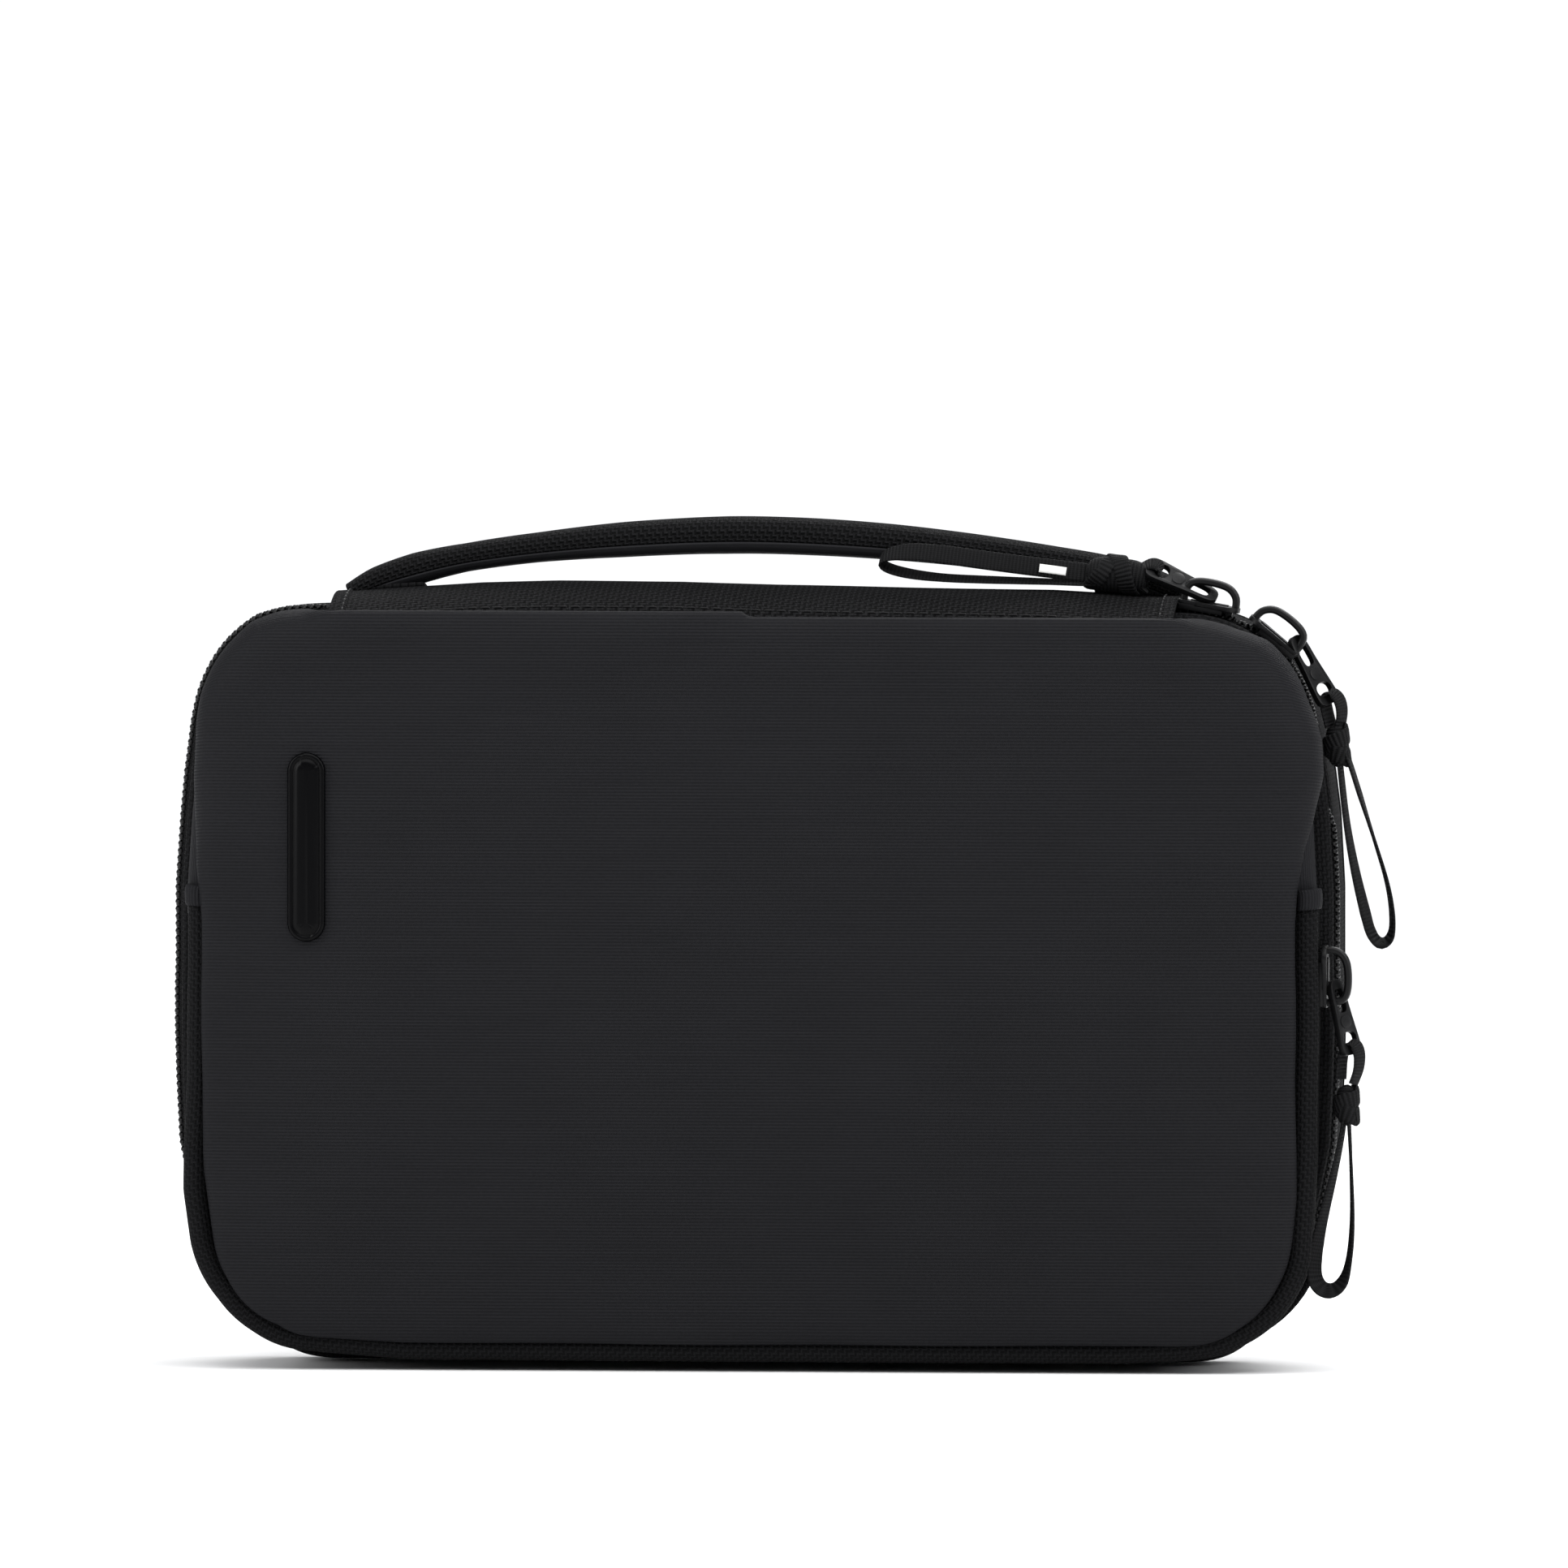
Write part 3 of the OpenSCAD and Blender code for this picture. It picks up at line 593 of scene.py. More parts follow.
def panel(rim, inner_y, rings=20):
    """rim is stations x k x 2, (inset, y) from the outermost point in. From there the rings close on a
    line in the middle: a point is rim + t (middle - rim), and y moves from the rim's to inner_y by
    1 - (1 - t)^2. The two halves of the last ring fall on each other and are one."""
    edge = along_edge(PANEL_S, rim[..., 0], rim[..., 1])
    last = edge[:, -1]
    turn = np.arange(STATIONS) / STATIONS
    reach = 1 - np.abs(turn * 4 % 2 - 1)
    side = np.where(np.arange(STATIONS) <= STATIONS // 2, 1, -1)
    middle = np.stack([side * MIDDLE_X * reach, np.full(STATIONS, inner_y), np.full(STATIONS, MIDDLE_Z)],
                      -1)
    t = np.linspace(0, 1, rings + 1)[1:][None, :, None]
    flat = last[:, None] + t * (middle[:, None] - last[:, None])
    flat[..., 1] = last[:, None, 1] + (1 - (1 - t[..., 0]) ** 2) * (inner_y - last[:, None, 1])
    return np.concatenate([edge, flat], 1)


def panel_mesh(name, points, flip=False, uv_from=None):
    """Joins a panel's rings into quads and merges the doubled middle line."""
    rows, cols = points.shape[:2]
    index = np.arange(rows * cols).reshape(rows, cols)
    half = rows // 2
    mirror = (half - np.arange(rows)) % rows
    partner = np.where(np.arange(rows) <= half, np.minimum(np.arange(rows), mirror),
                       np.maximum(np.arange(rows), mirror))
    index[:, -1] = index[partner, -1]
    a, b = index[:, :-1], np.roll(index, -1, 0)[:, :-1]
    c, d = np.roll(index, -1, 0)[:, 1:], index[:, 1:]
    order = (a, d, c, b) if flip else (a, b, c, d)
    quads = np.stack(order, -1).reshape(-1, 4)
    flat = points.reshape(-1, 3)
    uv = (flat if uv_from is None else uv_from.reshape(-1, 3))[:, [0, 2]]
    used, small = np.unique(quads, return_inverse=True)
    small = small.reshape(-1, 4)
    return build(name, flat[used], small.tolist(), uv[used][small.ravel()])


def unrolled(points, y_face):
    """Where each point would lie if the sides were rolled out flat: its own x and z, pushed outwards by
    how far it is behind the face. The weave then runs on over the edge."""
    out = on_ring(OUTWARD, PANEL_S)[:, None, :]
    behind = np.maximum(points[..., 1] - y_face, 0)[..., None]
    spread = points.copy()
    spread[..., [0, 2]] += out * behind
    return spread

# %% [markdown]
# The front is one sheet. Low down it ends in a sewn edge beside the gusset. Above the side tabs the same
# cloth wraps back over the sides, and over the top it tucks under the spine band. So its rim has three
# shapes, and each place along the edge takes its own blend of them.

# %% Where the front's edges lie
x_at, z_at = on_ring(RING, PANEL_S).T


PANEL_LEFT = [(-9, 4.9), (-2, 5.2), (0, 6.2), (1.6, 7.6), (15, 8.3), (41, 6.9), (60, 7.8), (94, 7.8),
              (98, 7.5), (106, 6.1), (118, 5.3), (128, 4.2), (137, 3.2), (142, 2.8), (150.5, 2.4),
              (154.5, 2.0), (157.6, 1.2), (159, 0.6)]
PANEL_RIGHT = [(-9, 4.9), (0, 5.1), (4, 6.0), (15, 6.3), (28, 5.7), (36, 5.6), (46, 6.6), (60, 7.7),
               (94, 7.8), (100.5, 7.3), (109.5, 5.7), (118.5, 3.0), (125, 0.5), (131.7, -0.5), (140, 0.1),
               (148, -0.4), (152.3, -0.4), (156, 1.5), (159, 1.9)]
GUSSET_LEFT = [(-9, 1.6), (-2, 1.8), (0, 3.3), (4, 3.9), (12, 3.9), (26, 2.4), (37, 1.9), (48, 3.0),
               (60, 4.1), (75, 4.5), (98, 4.5)]
GUSSET_RIGHT = [(-9, 1.6), (-1.5, 1.6), (0.2, 2.3), (3, 2.6), (10, 2.2), (23, 1.9), (37, 2.4), (60, 3.2),
                (98, 3.2)]


TUCK = [(-9, 1.4), (0, 2.1), (4, 3.6), (12, 3.8), (26, 2.9), (36, 1.3), (47, 0)]
TUCK_BACK = [(-9, 0), (0, 0), (2, 1.7), (5, 3.7), (12, 4.2), (26, 3.2), (37, 1.5), (48, 0)]


def tuck(s):
    """How much further in the main zip is at the bottom corners, where the front hangs over it."""
    return by_height(on_ring(RING, s), TUCK, TUCK)


def tuck_back(s):
    """The same for the back half, which must still stand on its bottom."""
    return by_height(on_ring(RING, s), TUCK_BACK, TUCK_BACK)


def zip_inset(s):
    """How far in the main zip's tape and teeth are: the tuck, and on the right shoulder the fullness
    too, because the slider there runs on the arc itself."""
    point = on_ring(RING, s)
    full = by_height(point, [(0, 0), (159, 0)], FULL_RIGHT)
    return tuck(s) + full * step_up(point[:, 1], 112, 121)


def panel_edge(s):
    """How far in from the outline the front panel's outermost line is."""
    return by_height(on_ring(RING, s), PANEL_LEFT, PANEL_RIGHT)


def gusset_edge(s):
    """How far in from the outline the lower gusset's outermost line is."""
    return by_height(on_ring(RING, s), GUSSET_LEFT, GUSSET_RIGHT)


def pocket_shift(s):
    """How far out the front zip is moved to stay just inside the lower gusset."""
    return np.clip(3.6 - gusset_edge(s), -0.6, 2.0)

# %% [markdown]
# The three rim shapes are drawn as (inset, depth) from behind forwards. `to_top` and `to_low` are
# weights between 0 and 1 along the edge. A sine a few centimetres long gives the slack that sewn cloth
# always has.

# %% The front panel
RIM_POINTS = 26
edge_low = rounded([(9.6, -25.2), (8.6, -25.4), (7.9, -26.6), (7.8, -28.2), (9.0, -29.6), (12.5, -30.4),
                    (18, -30.9)],
                   RIM_POINTS)
edge_top = rounded([(4.4, -14.6), (4.2, -18), (4.2, -23.2), (2.8, -25.4), (1.0, -26.4), (0.2, -27.9),
                    (1.6, -29.7), (6, -30.6), (12, -30.9), (18, -31.0)], RIM_POINTS)
edge_side = rounded([(4.4, -14.4), (1.2, -14.9), (-0.4, -17.5), (-0.5, -22.0), (0.6, -25.8), (3.4, -28.9),
                     (8, -30.4), (12, -30.8), (18, -31.0)], RIM_POINTS)
to_top = step_up(-np.abs(x_at), -95, -84) * (z_at > 80)
to_low = 1 - step_up(z_at, 98, 124)
rim = edge_side[None] + to_top[:, None, None] * (edge_top[None] - edge_side[None])
rim = rim + to_low[:, None, None] * (edge_low[None] - rim)
move = panel_edge(PANEL_S) + 0.12 * np.sin(x_at / 9) * to_low - rim[..., 0].min(1)
rim[..., 0] += move[:, None] * np.linspace(1, 0, RIM_POINTS) ** 0.6
front = panel(rim, -33.4)
ripple = 0.16 * np.sin(front[..., 0] / 17 + 1.3) * np.sin(front[..., 2] / 23 + 0.4)
ripple += 0.10 * np.sin(front[..., 0] / 7.3 + front[..., 2] / 41) * (front[..., 2] < 30)
front[..., 1] += ripple
FOLD = ((0, -29.8, 90), (0, -29.8, 77))
front_panel = panel_mesh("front_panel", front, flip=True, uv_from=unrolled(front, -28))
thicken(front_panel, 0.9)
finish(front_panel, ("lid", "flap"), coated_nylon, "upper_front_panel", "lower_front_panel", bend=FOLD)
print("front panel", len(front_panel.data.polygons), "quads")

# %% [markdown]
# The back is the same kind of panel with one rim all round and almost no crown, since the pouch also
# lies on it.

# %% The back panel
back_edge = rounded([(4.2, 19.2), (2.6, 19.5), (1.6, 20.3), (1.7, 21.3), (3.6, 22.0), (9, 22.2),
                     (18, 22.3)], RIM_POINTS)
back_rim = np.repeat(back_edge[None], STATIONS, axis=0)
back_rim[..., 0] += 0.9 * tuck_back(PANEL_S)[:, None]
back = panel(back_rim, 22.6)
back_pad = panel_mesh("back_panel_pad", back, uv_from=back)
thicken(back_pad, 0.9)
finish(back_pad, "back_half", coated_nylon, "back_panel")
print("back panel", len(back_pad.data.polygons), "quads")

# %% [markdown]
# ## Gussets and tapes
# A gusset is a strip of cloth on edge that runs round the pouch between two seams. Its cross section is
# drawn once, in inset and depth, softened, and carried along the outline.

# %% Strips that run round the pouch


def strip(name, start, end, section, count=26, shift=None, step=1.5):
    """Carries a closed section of (inset, y) points along the outline from start clockwise to end."""
    s = stretch(start, end, step)
    shape = rounded(section, count, closed=True)
    move = np.zeros(len(s)) if shift is None else shift(s)
    points = along_edge(s, shape[None, :, 0] - move[:, None],
                        np.broadcast_to(shape[None, :, 1], (len(s), count)))
    turn = np.sum(shape[:, 0] * np.roll(shape[:, 1], -1) - np.roll(shape[:, 0], -1) * shape[:, 1]) > 0
    return grid(name, points, ring=True, caps=True, flip=not turn)


SPINE_END = mm_box("spine_band")[1][0]
TAB_Z = mm_box("side_tabs")[0][2]
band_right = spot(SPINE_END + 0.5, TOP)
band_left = spot(-SPINE_END - 0.5, TOP)
tab_right = spot(HALF, TAB_Z)
tab_left = spot(-HALF, TAB_Z)
split_s = spot(*(SHOULDER + ARC_R * np.array([math.cos(math.radians(65)), math.sin(math.radians(65))])))


def off_floor(s):
    """The back half sits on its bottom, so it doesn't belly out there."""
    return 0.5 * step_up(-on_ring(OUTWARD, s)[:, 1], 0.3, 0.9)

# %% [markdown]
# The back gusset is one wall from zip to welt, open where the spine sits. The lid's is a narrow one
# between the two zips, with a seam allowance that turns in along the divider. Above the side tabs the
# front's own cloth covers the sides, and below them a welted gusset runs round the flap.

# %% Gussets
BACK_WALL = [(2.0, -1.3), (1.2, -0.4), (0.8, 3), (0.5, 9), (0.6, 15), (1.4, 19.2), (2.2, 20.0), (3.2, 19.2),
             (2.6, 14), (2.5, 6), (2.9, -0.6)]
WELT = [(0.6, 19.3), (0.9, 20.6), (2.2, 20.5), (2.2, 19.1), (1.2, 18.7)]
LID_WALL = [(1.6, -10.9), (0.8, -11.8), (0.9, -13.2), (1.6, -14.3), (4.1, -14.8), (8, -14.9), (12, -14.9),
            (12, -14.2), (8, -14.1), (4.5, -13.6), (3.4, -12.2), (2.4, -10.9)]
SIDE_WRAP = [(8.6, -25.4), (6.0, -26.4), (3.2, -25.6), (1.2, -22.6), (0.9, -18.6), (1.5, -15.4),
             (4.0, -14.4),
             (5.2, -15.6), (4.6, -19), (5.4, -23), (7.6, -24.6)]
FLAP_WALL = [(9.4, -24.9), (8.2, -26.4), (6.6, -27.5), (4.9, -27.1), (3.9, -25.6), (3.7, -24.2),
             (4.3, -23.5),
             (5.6, -24.0), (6.8, -24.9), (8.2, -24.4)]


def lid_shift(s):
    """Inwards by the tuck, and on the left by 1.2 mm more above the corner."""
    point = on_ring(RING, s)
    return -tuck(s) - 1.2 * (point[:, 0] < 0) * step_up(point[:, 1], 20, 60)


def wrap_shift(s):
    """Follows the front panel's edge, up to 3.2 mm in, and goes in by 3 mm more beside the band."""
    beside_band = step_up(-np.abs(on_ring(RING, s)[:, 0]), -97, -84)
    return 0.3 - np.clip(panel_edge(s), 0.0, 3.2) - 3.0 * beside_band


back_wall = strip("back_gusset_wall", band_right, band_left, BACK_WALL,
                  shift=lambda s: off_floor(s) - tuck_back(s))
finish(back_wall, "back_half", gusset_nylon, "back_gusset")
welt = strip("back_welt", 0, ROUND - 0.01, WELT, count=12, shift=lambda s: -0.9 * tuck_back(s))
finish(welt, "back_half", edge_binding)
lid_wall = strip("lid_gusset_wall", 0, ROUND - 0.01, LID_WALL, count=34, shift=lid_shift)
finish(lid_wall, "lid", gusset_nylon, "lid_gusset")
wrap = strip("side_wrap", tab_left - 2, tab_right + 2, SIDE_WRAP, shift=wrap_shift)
finish(wrap, "lid", coated_nylon, "upper_gusset")
flap_wall = strip("flap_gusset_wall", tab_right - 2, tab_left + 2, FLAP_WALL,
                  shift=lambda s: 3.75 - gusset_edge(s))
finish(flap_wall, ("lid", "flap"), gusset_nylon, "lower_gusset", bend=FOLD)
print("gussets:", [len(piece.data.polygons) for piece in (back_wall, welt, lid_wall, wrap, flap_wall)])

# %% [markdown]
# A zip's tape is a thin woven ribbon on each side of its teeth. The front zip is sewn in back to front,
# so that only its tapes show from outside, meeting in a narrow dark line.

# %% Zip tapes
tape_back = [(2.4, -0.9), (1.5, -1.2), (1.5, -3.6), (0.8, -4.3), (0.7, -5.2), (1.3, -5.92), (2.3, -5.9),
             (2.3, -3.4), (2.9, -1.0)]
tape_lid = [(1.3, -6.08), (0.7, -6.8), (0.8, -7.7), (1.5, -8.4), (1.5, -10.9), (2.4, -11.2), (2.9, -10.9),
            (2.3, -8.6), (2.3, -6.1)]
finish(strip("back_tape", split_s, band_left, tape_back, count=26, shift=lambda s: -zip_inset(s)),
       "back_half", zip_tape,
       "back_zip_tape", "corner_zip_tape")
finish(strip("lid_tape", split_s, band_left, tape_lid, count=26, shift=lambda s: -zip_inset(s)), "lid",
       zip_tape, "lid_zip_tape")
for name, section in (("spine_tape_rear", tape_back), ("spine_tape_front", tape_lid)):
    short = strip(name, band_right + 0.3, split_s - 0.3, section, count=26, step=0.8)
    finish(short, "spine", zip_tape, *(["spine_zip_tape"] if name == "spine_tape_rear" else []))
pocket_rear = [(4.2, -14.3), (3.9, -15.2), (4.0, -17.2), (4.3, -18.9), (5.1, -18.8), (4.9, -17.0),
               (5.0, -15.2), (10, -15.1), (10, -14.3)]
pocket_front = [(4.3, -19.1), (4.0, -20.8), (3.9, -22.8), (4.2, -23.8), (4.9, -23.6), (4.9, -21.0),
                (5.1, -19.2)]
finish(strip("pocket_tape_rear", tab_right - 3, tab_left + 3, pocket_rear, count=24, shift=pocket_shift),
       "lid", zip_tape, "rear_pocket_zip_tape", "upper_pocket_zip_tape")
finish(strip("pocket_tape_front", tab_right - 3, tab_left + 3, pocket_front, count=14, shift=pocket_shift),
       ("lid", "flap"), zip_tape, "flap_zip_tape", bend=FOLD)
print("tapes: six strips")

# %% [markdown]
# Coil teeth are one nylon thread wound into loops and pressed so that each loop has a head. Seen from
# outside, every loop is a short arched ridge. One ridge is made once, as a bent capsule of a few dozen
# faces, and copied to each place along the zip by adding and turning whole arrays.

# %% Coil teeth
PITCH = 1.53


def one_tooth():
    """A six-sided tube on an arch: it starts on the tape, rises over the cord and dips at its head.
    Columns of the frame are along the zip, across it and up."""
    line = np.array([(-0.16, -0.95, 0.15), (-0.10, -0.82, 0.62), (0, -0.3, 0.98), (0.08, 0.35, 1.0),
                     (0.14, 0.82, 0.68), (0.14, 0.9, 0.2)])
    thick = np.array([0.26, 0.33, 0.36, 0.37, 0.36, 0.26])
    tangent = np.gradient(line, axis=0)
    tangent /= np.linalg.norm(tangent, axis=1)[:, None]
    side = np.cross(tangent, [1, 0, 0])
    side /= np.linalg.norm(side, axis=1)[:, None]
    other = np.cross(tangent, side)
    a = np.arange(6) * math.pi / 3
    ring = np.cos(a)[None, :, None] * side[:, None] + np.sin(a)[None, :, None] * other[:, None]
    points = line[:, None] + ring * [1.4, 1, 1] * thick[:, None, None]
    faces = grid_faces(6, 6, ring=True).tolist() + [list(range(6)), list(range(35, 29, -1))]
    return points.reshape(-1, 3), faces


def teeth(name, start, end, y, side, base=1.3, shift=None, up=1):
    """Copies the tooth to every pitch along the outline. side is 1 for the strand behind the middle of
    the zip and -1 for the one in front; base is the inset of the tape that it stands on; up is 1 for
    teeth that face outwards and -1 for a reversed zip."""
    tooth, faces = one_tooth()
    span = (end - start) % ROUND
    s = start + (np.arange(int(span / PITCH)) + (0.5 if side > 0 else 0.0)) * PITCH
    point, out = on_ring(RING, s), on_ring(OUTWARD, s)
    ahead = np.stack([out[:, 1], -out[:, 0]], -1)
    move = np.zeros(len(s)) if shift is None else shift(s)
    foot = point - out * (base - move)[:, None]
    flat = foot[:, None] + tooth[None, :, 0, None] * ahead[:, None]
    flat = flat + up * tooth[None, :, 2, None] * out[:, None]
    depth = np.broadcast_to(y - side * tooth[None, :, 1], flat.shape[:2])
    verts = np.stack([flat[..., 0], depth, flat[..., 1]], -1)
    first = np.arange(len(s))[:, None] * len(tooth)
    every = []
    for face in faces:
        every += (first + np.array(face if side * up > 0 else face[::-1])[None]).tolist()
    return build(name, verts, every)

# %% [markdown]
# Each zip has two strands half a pitch apart. The spine carries its own short stretch, where the zip is
# sewn in.

# %% Teeth of the main zip
finish(teeth("back_coil", split_s, band_left - 0.5, ZIP_Y + 0.95, 1, shift=lambda s: -zip_inset(s)),
       "back_half", coil_nylon,
       "back_zip_coil", "corner_zip_coil")
finish(teeth("lid_coil", split_s, band_left - 0.5, ZIP_Y - 0.95, -1, shift=lambda s: -zip_inset(s)), "lid",
       coil_nylon, "lid_zip_coil")
finish(teeth("spine_coil_rear", band_right + 0.4, split_s - 0.4, ZIP_Y + 0.95, 1), "spine", coil_nylon,
       "spine_zip_coil")
finish(teeth("spine_coil_front", band_right + 0.4, split_s - 0.4, ZIP_Y - 0.95, -1), "spine", coil_nylon)

# %% [markdown]
# ## The spine band
# The band is the coarsest cloth on the pouch, a ballistic weave. It arches from front to back, is
# highest in the middle of its length and is pulled down to the zip at each end, under a folded hem.

# %% Spine band
BAND_FRONT, BAND_BACK = mm_box("spine_band")[0][1], mm_box("spine_band")[1][1]
BAND_MID = (BAND_FRONT + BAND_BACK) / 2
ARCH_R = 49.2


def band_z(x, y, lift=0.0):
    """Height of the band's upper face: its crest is read from a list along x, and across it
    follows an arc that turns down more steeply in its last millimetres."""
    crest = np.interp(x, [-88, -74, -58, -42, -16, 4, 33, 62, 88],
                      [161.5, 162.6, 163.6, 164.0, 163.9, 163.3, 162.8, 162.4, 160.9])
    across = np.sqrt((ARCH_R + lift) ** 2 - (y - BAND_MID) ** 2) - ARCH_R
    over = np.maximum(np.abs(y - BAND_MID) - 21.8, 0)
    return crest + across - 0.55 * over ** 1.6 + 0.05 * np.sin(x / 9) * np.cos(y / 6)


def on_band(x, y, lift=0.0):
    """Grid of points on the band for lists of x and y."""
    xx, yy = np.meshgrid(x, y, indexing="ij")
    return np.stack([xx, yy, band_z(xx, yy, lift)], -1)


band_y = np.linspace(BAND_FRONT - 0.7, BAND_BACK + 0.9, 44)
band = grid("spine_band_weave", on_band(np.linspace(-SPINE_END - 0.4, SPINE_END + 0.4, 240), band_y))
thicken(band, 1.3)
finish(band, "spine", ballistic_nylon, "spine_band")
inner = grid("spine_inside", on_band(np.linspace(-SPINE_END + 1, SPINE_END - 1, 90),
                                     np.linspace(-25.5, 17.5, 24), -1.5), flip=True)
thicken(inner, 0.5)
finish(inner, "spine", lining_cloth, "spine_lining")
for side in (-1, 1):
    hem = grid(f"spine_hem_{'left' if side < 0 else 'right'}",
               on_band(side * np.linspace(SPINE_END - 2.8, SPINE_END + 0.6, 6)[::side], band_y, 0.3))
    thicken(hem, 0.9)
    soften(hem, 0.3)
    finish(hem, "spine", ballistic_nylon, *(["spine_end_bindings"] if side < 0 else []))

# %% [markdown]
# The band is joined to each half by cloth that bends at the fold line. The lining is one soft strip on
# each side: one edge lies under the band, the other on the half, and the turn between them is spread.

# %% Cloth hinges inside the spine


def hinge_cloth(name, y_path, drop, bodies, bend):
    """Under the band z follows its lower face; past the fold line z falls below it by drop."""
    x = np.linspace(-SPINE_END + 1.5, SPINE_END - 1.5, 80)
    section = rounded(np.stack([y_path, drop], -1), 22)
    xx, yy = np.meshgrid(x, section[:, 0], indexing="ij")
    cloth_sheet = grid(name, np.stack([xx, yy, band_z(xx, yy, -2.4) + section[None, :, 1]], -1))
    thicken(cloth_sheet, 0.5, 0)
    return finish(cloth_sheet, bodies, lining_cloth, bend=bend)


hinge_cloth("hinge_cloth_rear", [8, 12, 15, 17.3, 17.9, 17.9, 17.9], [0, 0, 0, -0.5, -3, -7, -12],
            ("spine", "back_half"),
            ((0, 12.5, 158), (0, 17.5, 153)))
hinge_cloth("hinge_cloth_front", [-14, -18, -21, -23.6, -24.6, -24.8], [0, 0, 0, -0.6, -3, -6],
            ("spine", "lid"),
            ((0, -19, 158), (0, -24.5, 153)))

# %% [markdown]
# Bonded thread holds the band down along both edges and across both hems. A stitch is a short capsule of
# two dozen faces that sinks into the cloth at both ends. One is made, and copied along each seam.

# %% Stitches


def stitches(line, up, pitch=2.7, long=2.0, thick=0.42):
    """Capsules along a line of points: position + t tangent + radius (cos a side + sin a up)."""
    where = lengths(line)
    spots = np.arange(pitch, where[-1] - pitch / 2, pitch)
    point = np.stack([np.interp(spots, where, line[:, k]) for k in range(3)], -1)
    ahead = np.stack([np.interp(spots + 0.5, where, line[:, k]) for k in range(3)], -1) - point
    ahead /= np.linalg.norm(ahead, axis=1)[:, None]
    side = np.cross(ahead, up)
    side /= np.linalg.norm(side, axis=1)[:, None]
    over = np.cross(side, ahead)
    t = np.array([-0.5, -0.32, 0.32, 0.5]) * long
    r = np.array([0.45, 1.0, 1.0, 0.45]) * thick / 2
    lift = np.array([-0.16, 0.06, 0.06, -0.16])
    a = np.arange(6) * math.pi / 3
    ring = np.cos(a)[None, :, None] * side[:, None, None] + np.sin(a)[None, :, None] * over[:, None, None]
    middle = point[:, None] + t[None, :, None] * ahead[:, None] + lift[None, :, None] * over[:, None]
    verts = middle[:, :, None] + ring * r[None, :, None, None]
    one = grid_faces(4, 6, ring=True, flip=True).tolist() + [list(range(6)), list(range(23, 17, -1))]
    faces = []
    for face in one:
        faces += (np.arange(len(spots))[:, None] * 24 + np.array(face)[None]).tolist()
    return verts.reshape(-1, 3), faces


seams = []
for y in (BAND_FRONT + 1.6, BAND_BACK - 1.2):
    seams.append(stitches(on_band(np.linspace(-SPINE_END + 3, SPINE_END - 3, 90), [y], 0.1)[:, 0],
                          [0, 0, 1]))
for x in (-SPINE_END + 2.3, SPINE_END - 2.3):
    seams.append(stitches(on_band([x], np.linspace(BAND_FRONT + 2, BAND_BACK - 2, 40), 0.35)[0], [0, 0, 1]))
finish(build("spine_stitches", *join(seams)), "spine", thread)
print("stitched seams:", len(seams))

# %% [markdown]
# ## Handle
# The handle is a strip of webbing folded over a foam core, with a smooth cloth closing it underneath. It
# leaves the band behind its crest, rises steeply on the left and falls slowly to the right.

# %% Handle
HANDLE_Y = mm_box("handle_webbing")[0][1] / 2 + mm_box("handle_webbing")[1][1] / 2
HANDLE_TOP = mm_box("handle_webbing")[1][2]
HANDLE_AT = np.array([-86, -81, -72.5, -62, -47, -29, -7, 11, 28, 45, 62, 74, 83, 88])
HANDLE_MID = np.array([160.8, 163.5, 166.2, 168.6, 170.7, 172.4, 173.5, 173.1, 172.0, 170.2, 168.0, 166.0,
                       163.4, 161.0])
HANDLE_THICK = np.array([3.4, 4.6, 5.2, 4.4, 4.7, 5.8, 6.3, 6.2, 5.9, 5.4, 4.7, 4.6, 4.2, 3.4])
handle_line = rounded(np.stack([HANDLE_AT, HANDLE_MID], -1), 150)


def handle_section(angles):
    """Points of a rounded box: |y/6.9|^3 + |z/3.05|^3 = 1, read at the angles given."""
    c, s = np.cos(angles), np.sin(angles)
    return 6.9 * np.sign(c) * np.abs(c) ** (2 / 3), 3.05 * np.sign(s) * np.abs(s) ** (2 / 3)


def handle_part(name, first, last, count, grow=0.0):
    """Carries part of the handle's section, between two angles, along its line."""
    tangent = np.gradient(handle_line, axis=0)
    tangent /= np.linalg.norm(tangent, axis=1)[:, None]
    up = np.stack([-tangent[:, 1], tangent[:, 0]], -1)
    y, z = handle_section(np.radians(np.linspace(first, last, count)))
    thin = np.interp(handle_line[:, 0], HANDLE_AT, HANDLE_THICK) / 6.1
    flat = handle_line[:, None] + up[:, None] * (z[None] * (1 + grow) * thin[:, None])[..., None]
    depth = np.broadcast_to(HANDLE_Y + y * (1 + grow), flat.shape[:2])
    return grid(name, np.stack([flat[..., 0], depth, flat[..., 1]], -1))


ROOT = ((0, HANDLE_Y, 162.8), (0, HANDLE_Y, 167.5))
webbing = thicken(handle_part("handle_weave_top", -10, 190, 40), 0.8)
finish(webbing, ("spine", "handle"), handle_weave, "handle_webbing", bend=ROOT)
# The underside's colour holds a painted reflection of light from below.
under = thicken(handle_part("handle_under", -170, -10, 24, 0.012), 0.7)
finish(under, ("spine", "handle"), handle_nylon_painted_reflection, "handle_lining", bend=ROOT)
print("handle crest", round(float(handle_line[:, 1].max() + 3.05), 1), "CAD", round(float(HANDLE_TOP), 1))

# %% [markdown]
# At each end the handle is sewn down under a square patch of its own webbing.

# %% Handle patches
for side in (-1, 1):
    x = side * (SPINE_END - 3.5 - 7)
    patch = grid(f"handle_patch_{'left' if side < 0 else 'right'}",
                 on_band(np.linspace(x - 7, x + 7, 24), np.linspace(HANDLE_Y - 7.6, HANDLE_Y + 7.6, 24),
                         0.9))
    thicken(patch, 1.0)
    soften(patch, 0.35)
    finish(patch, "spine", handle_weave, *(["handle_patches"] if side < 0 else []))

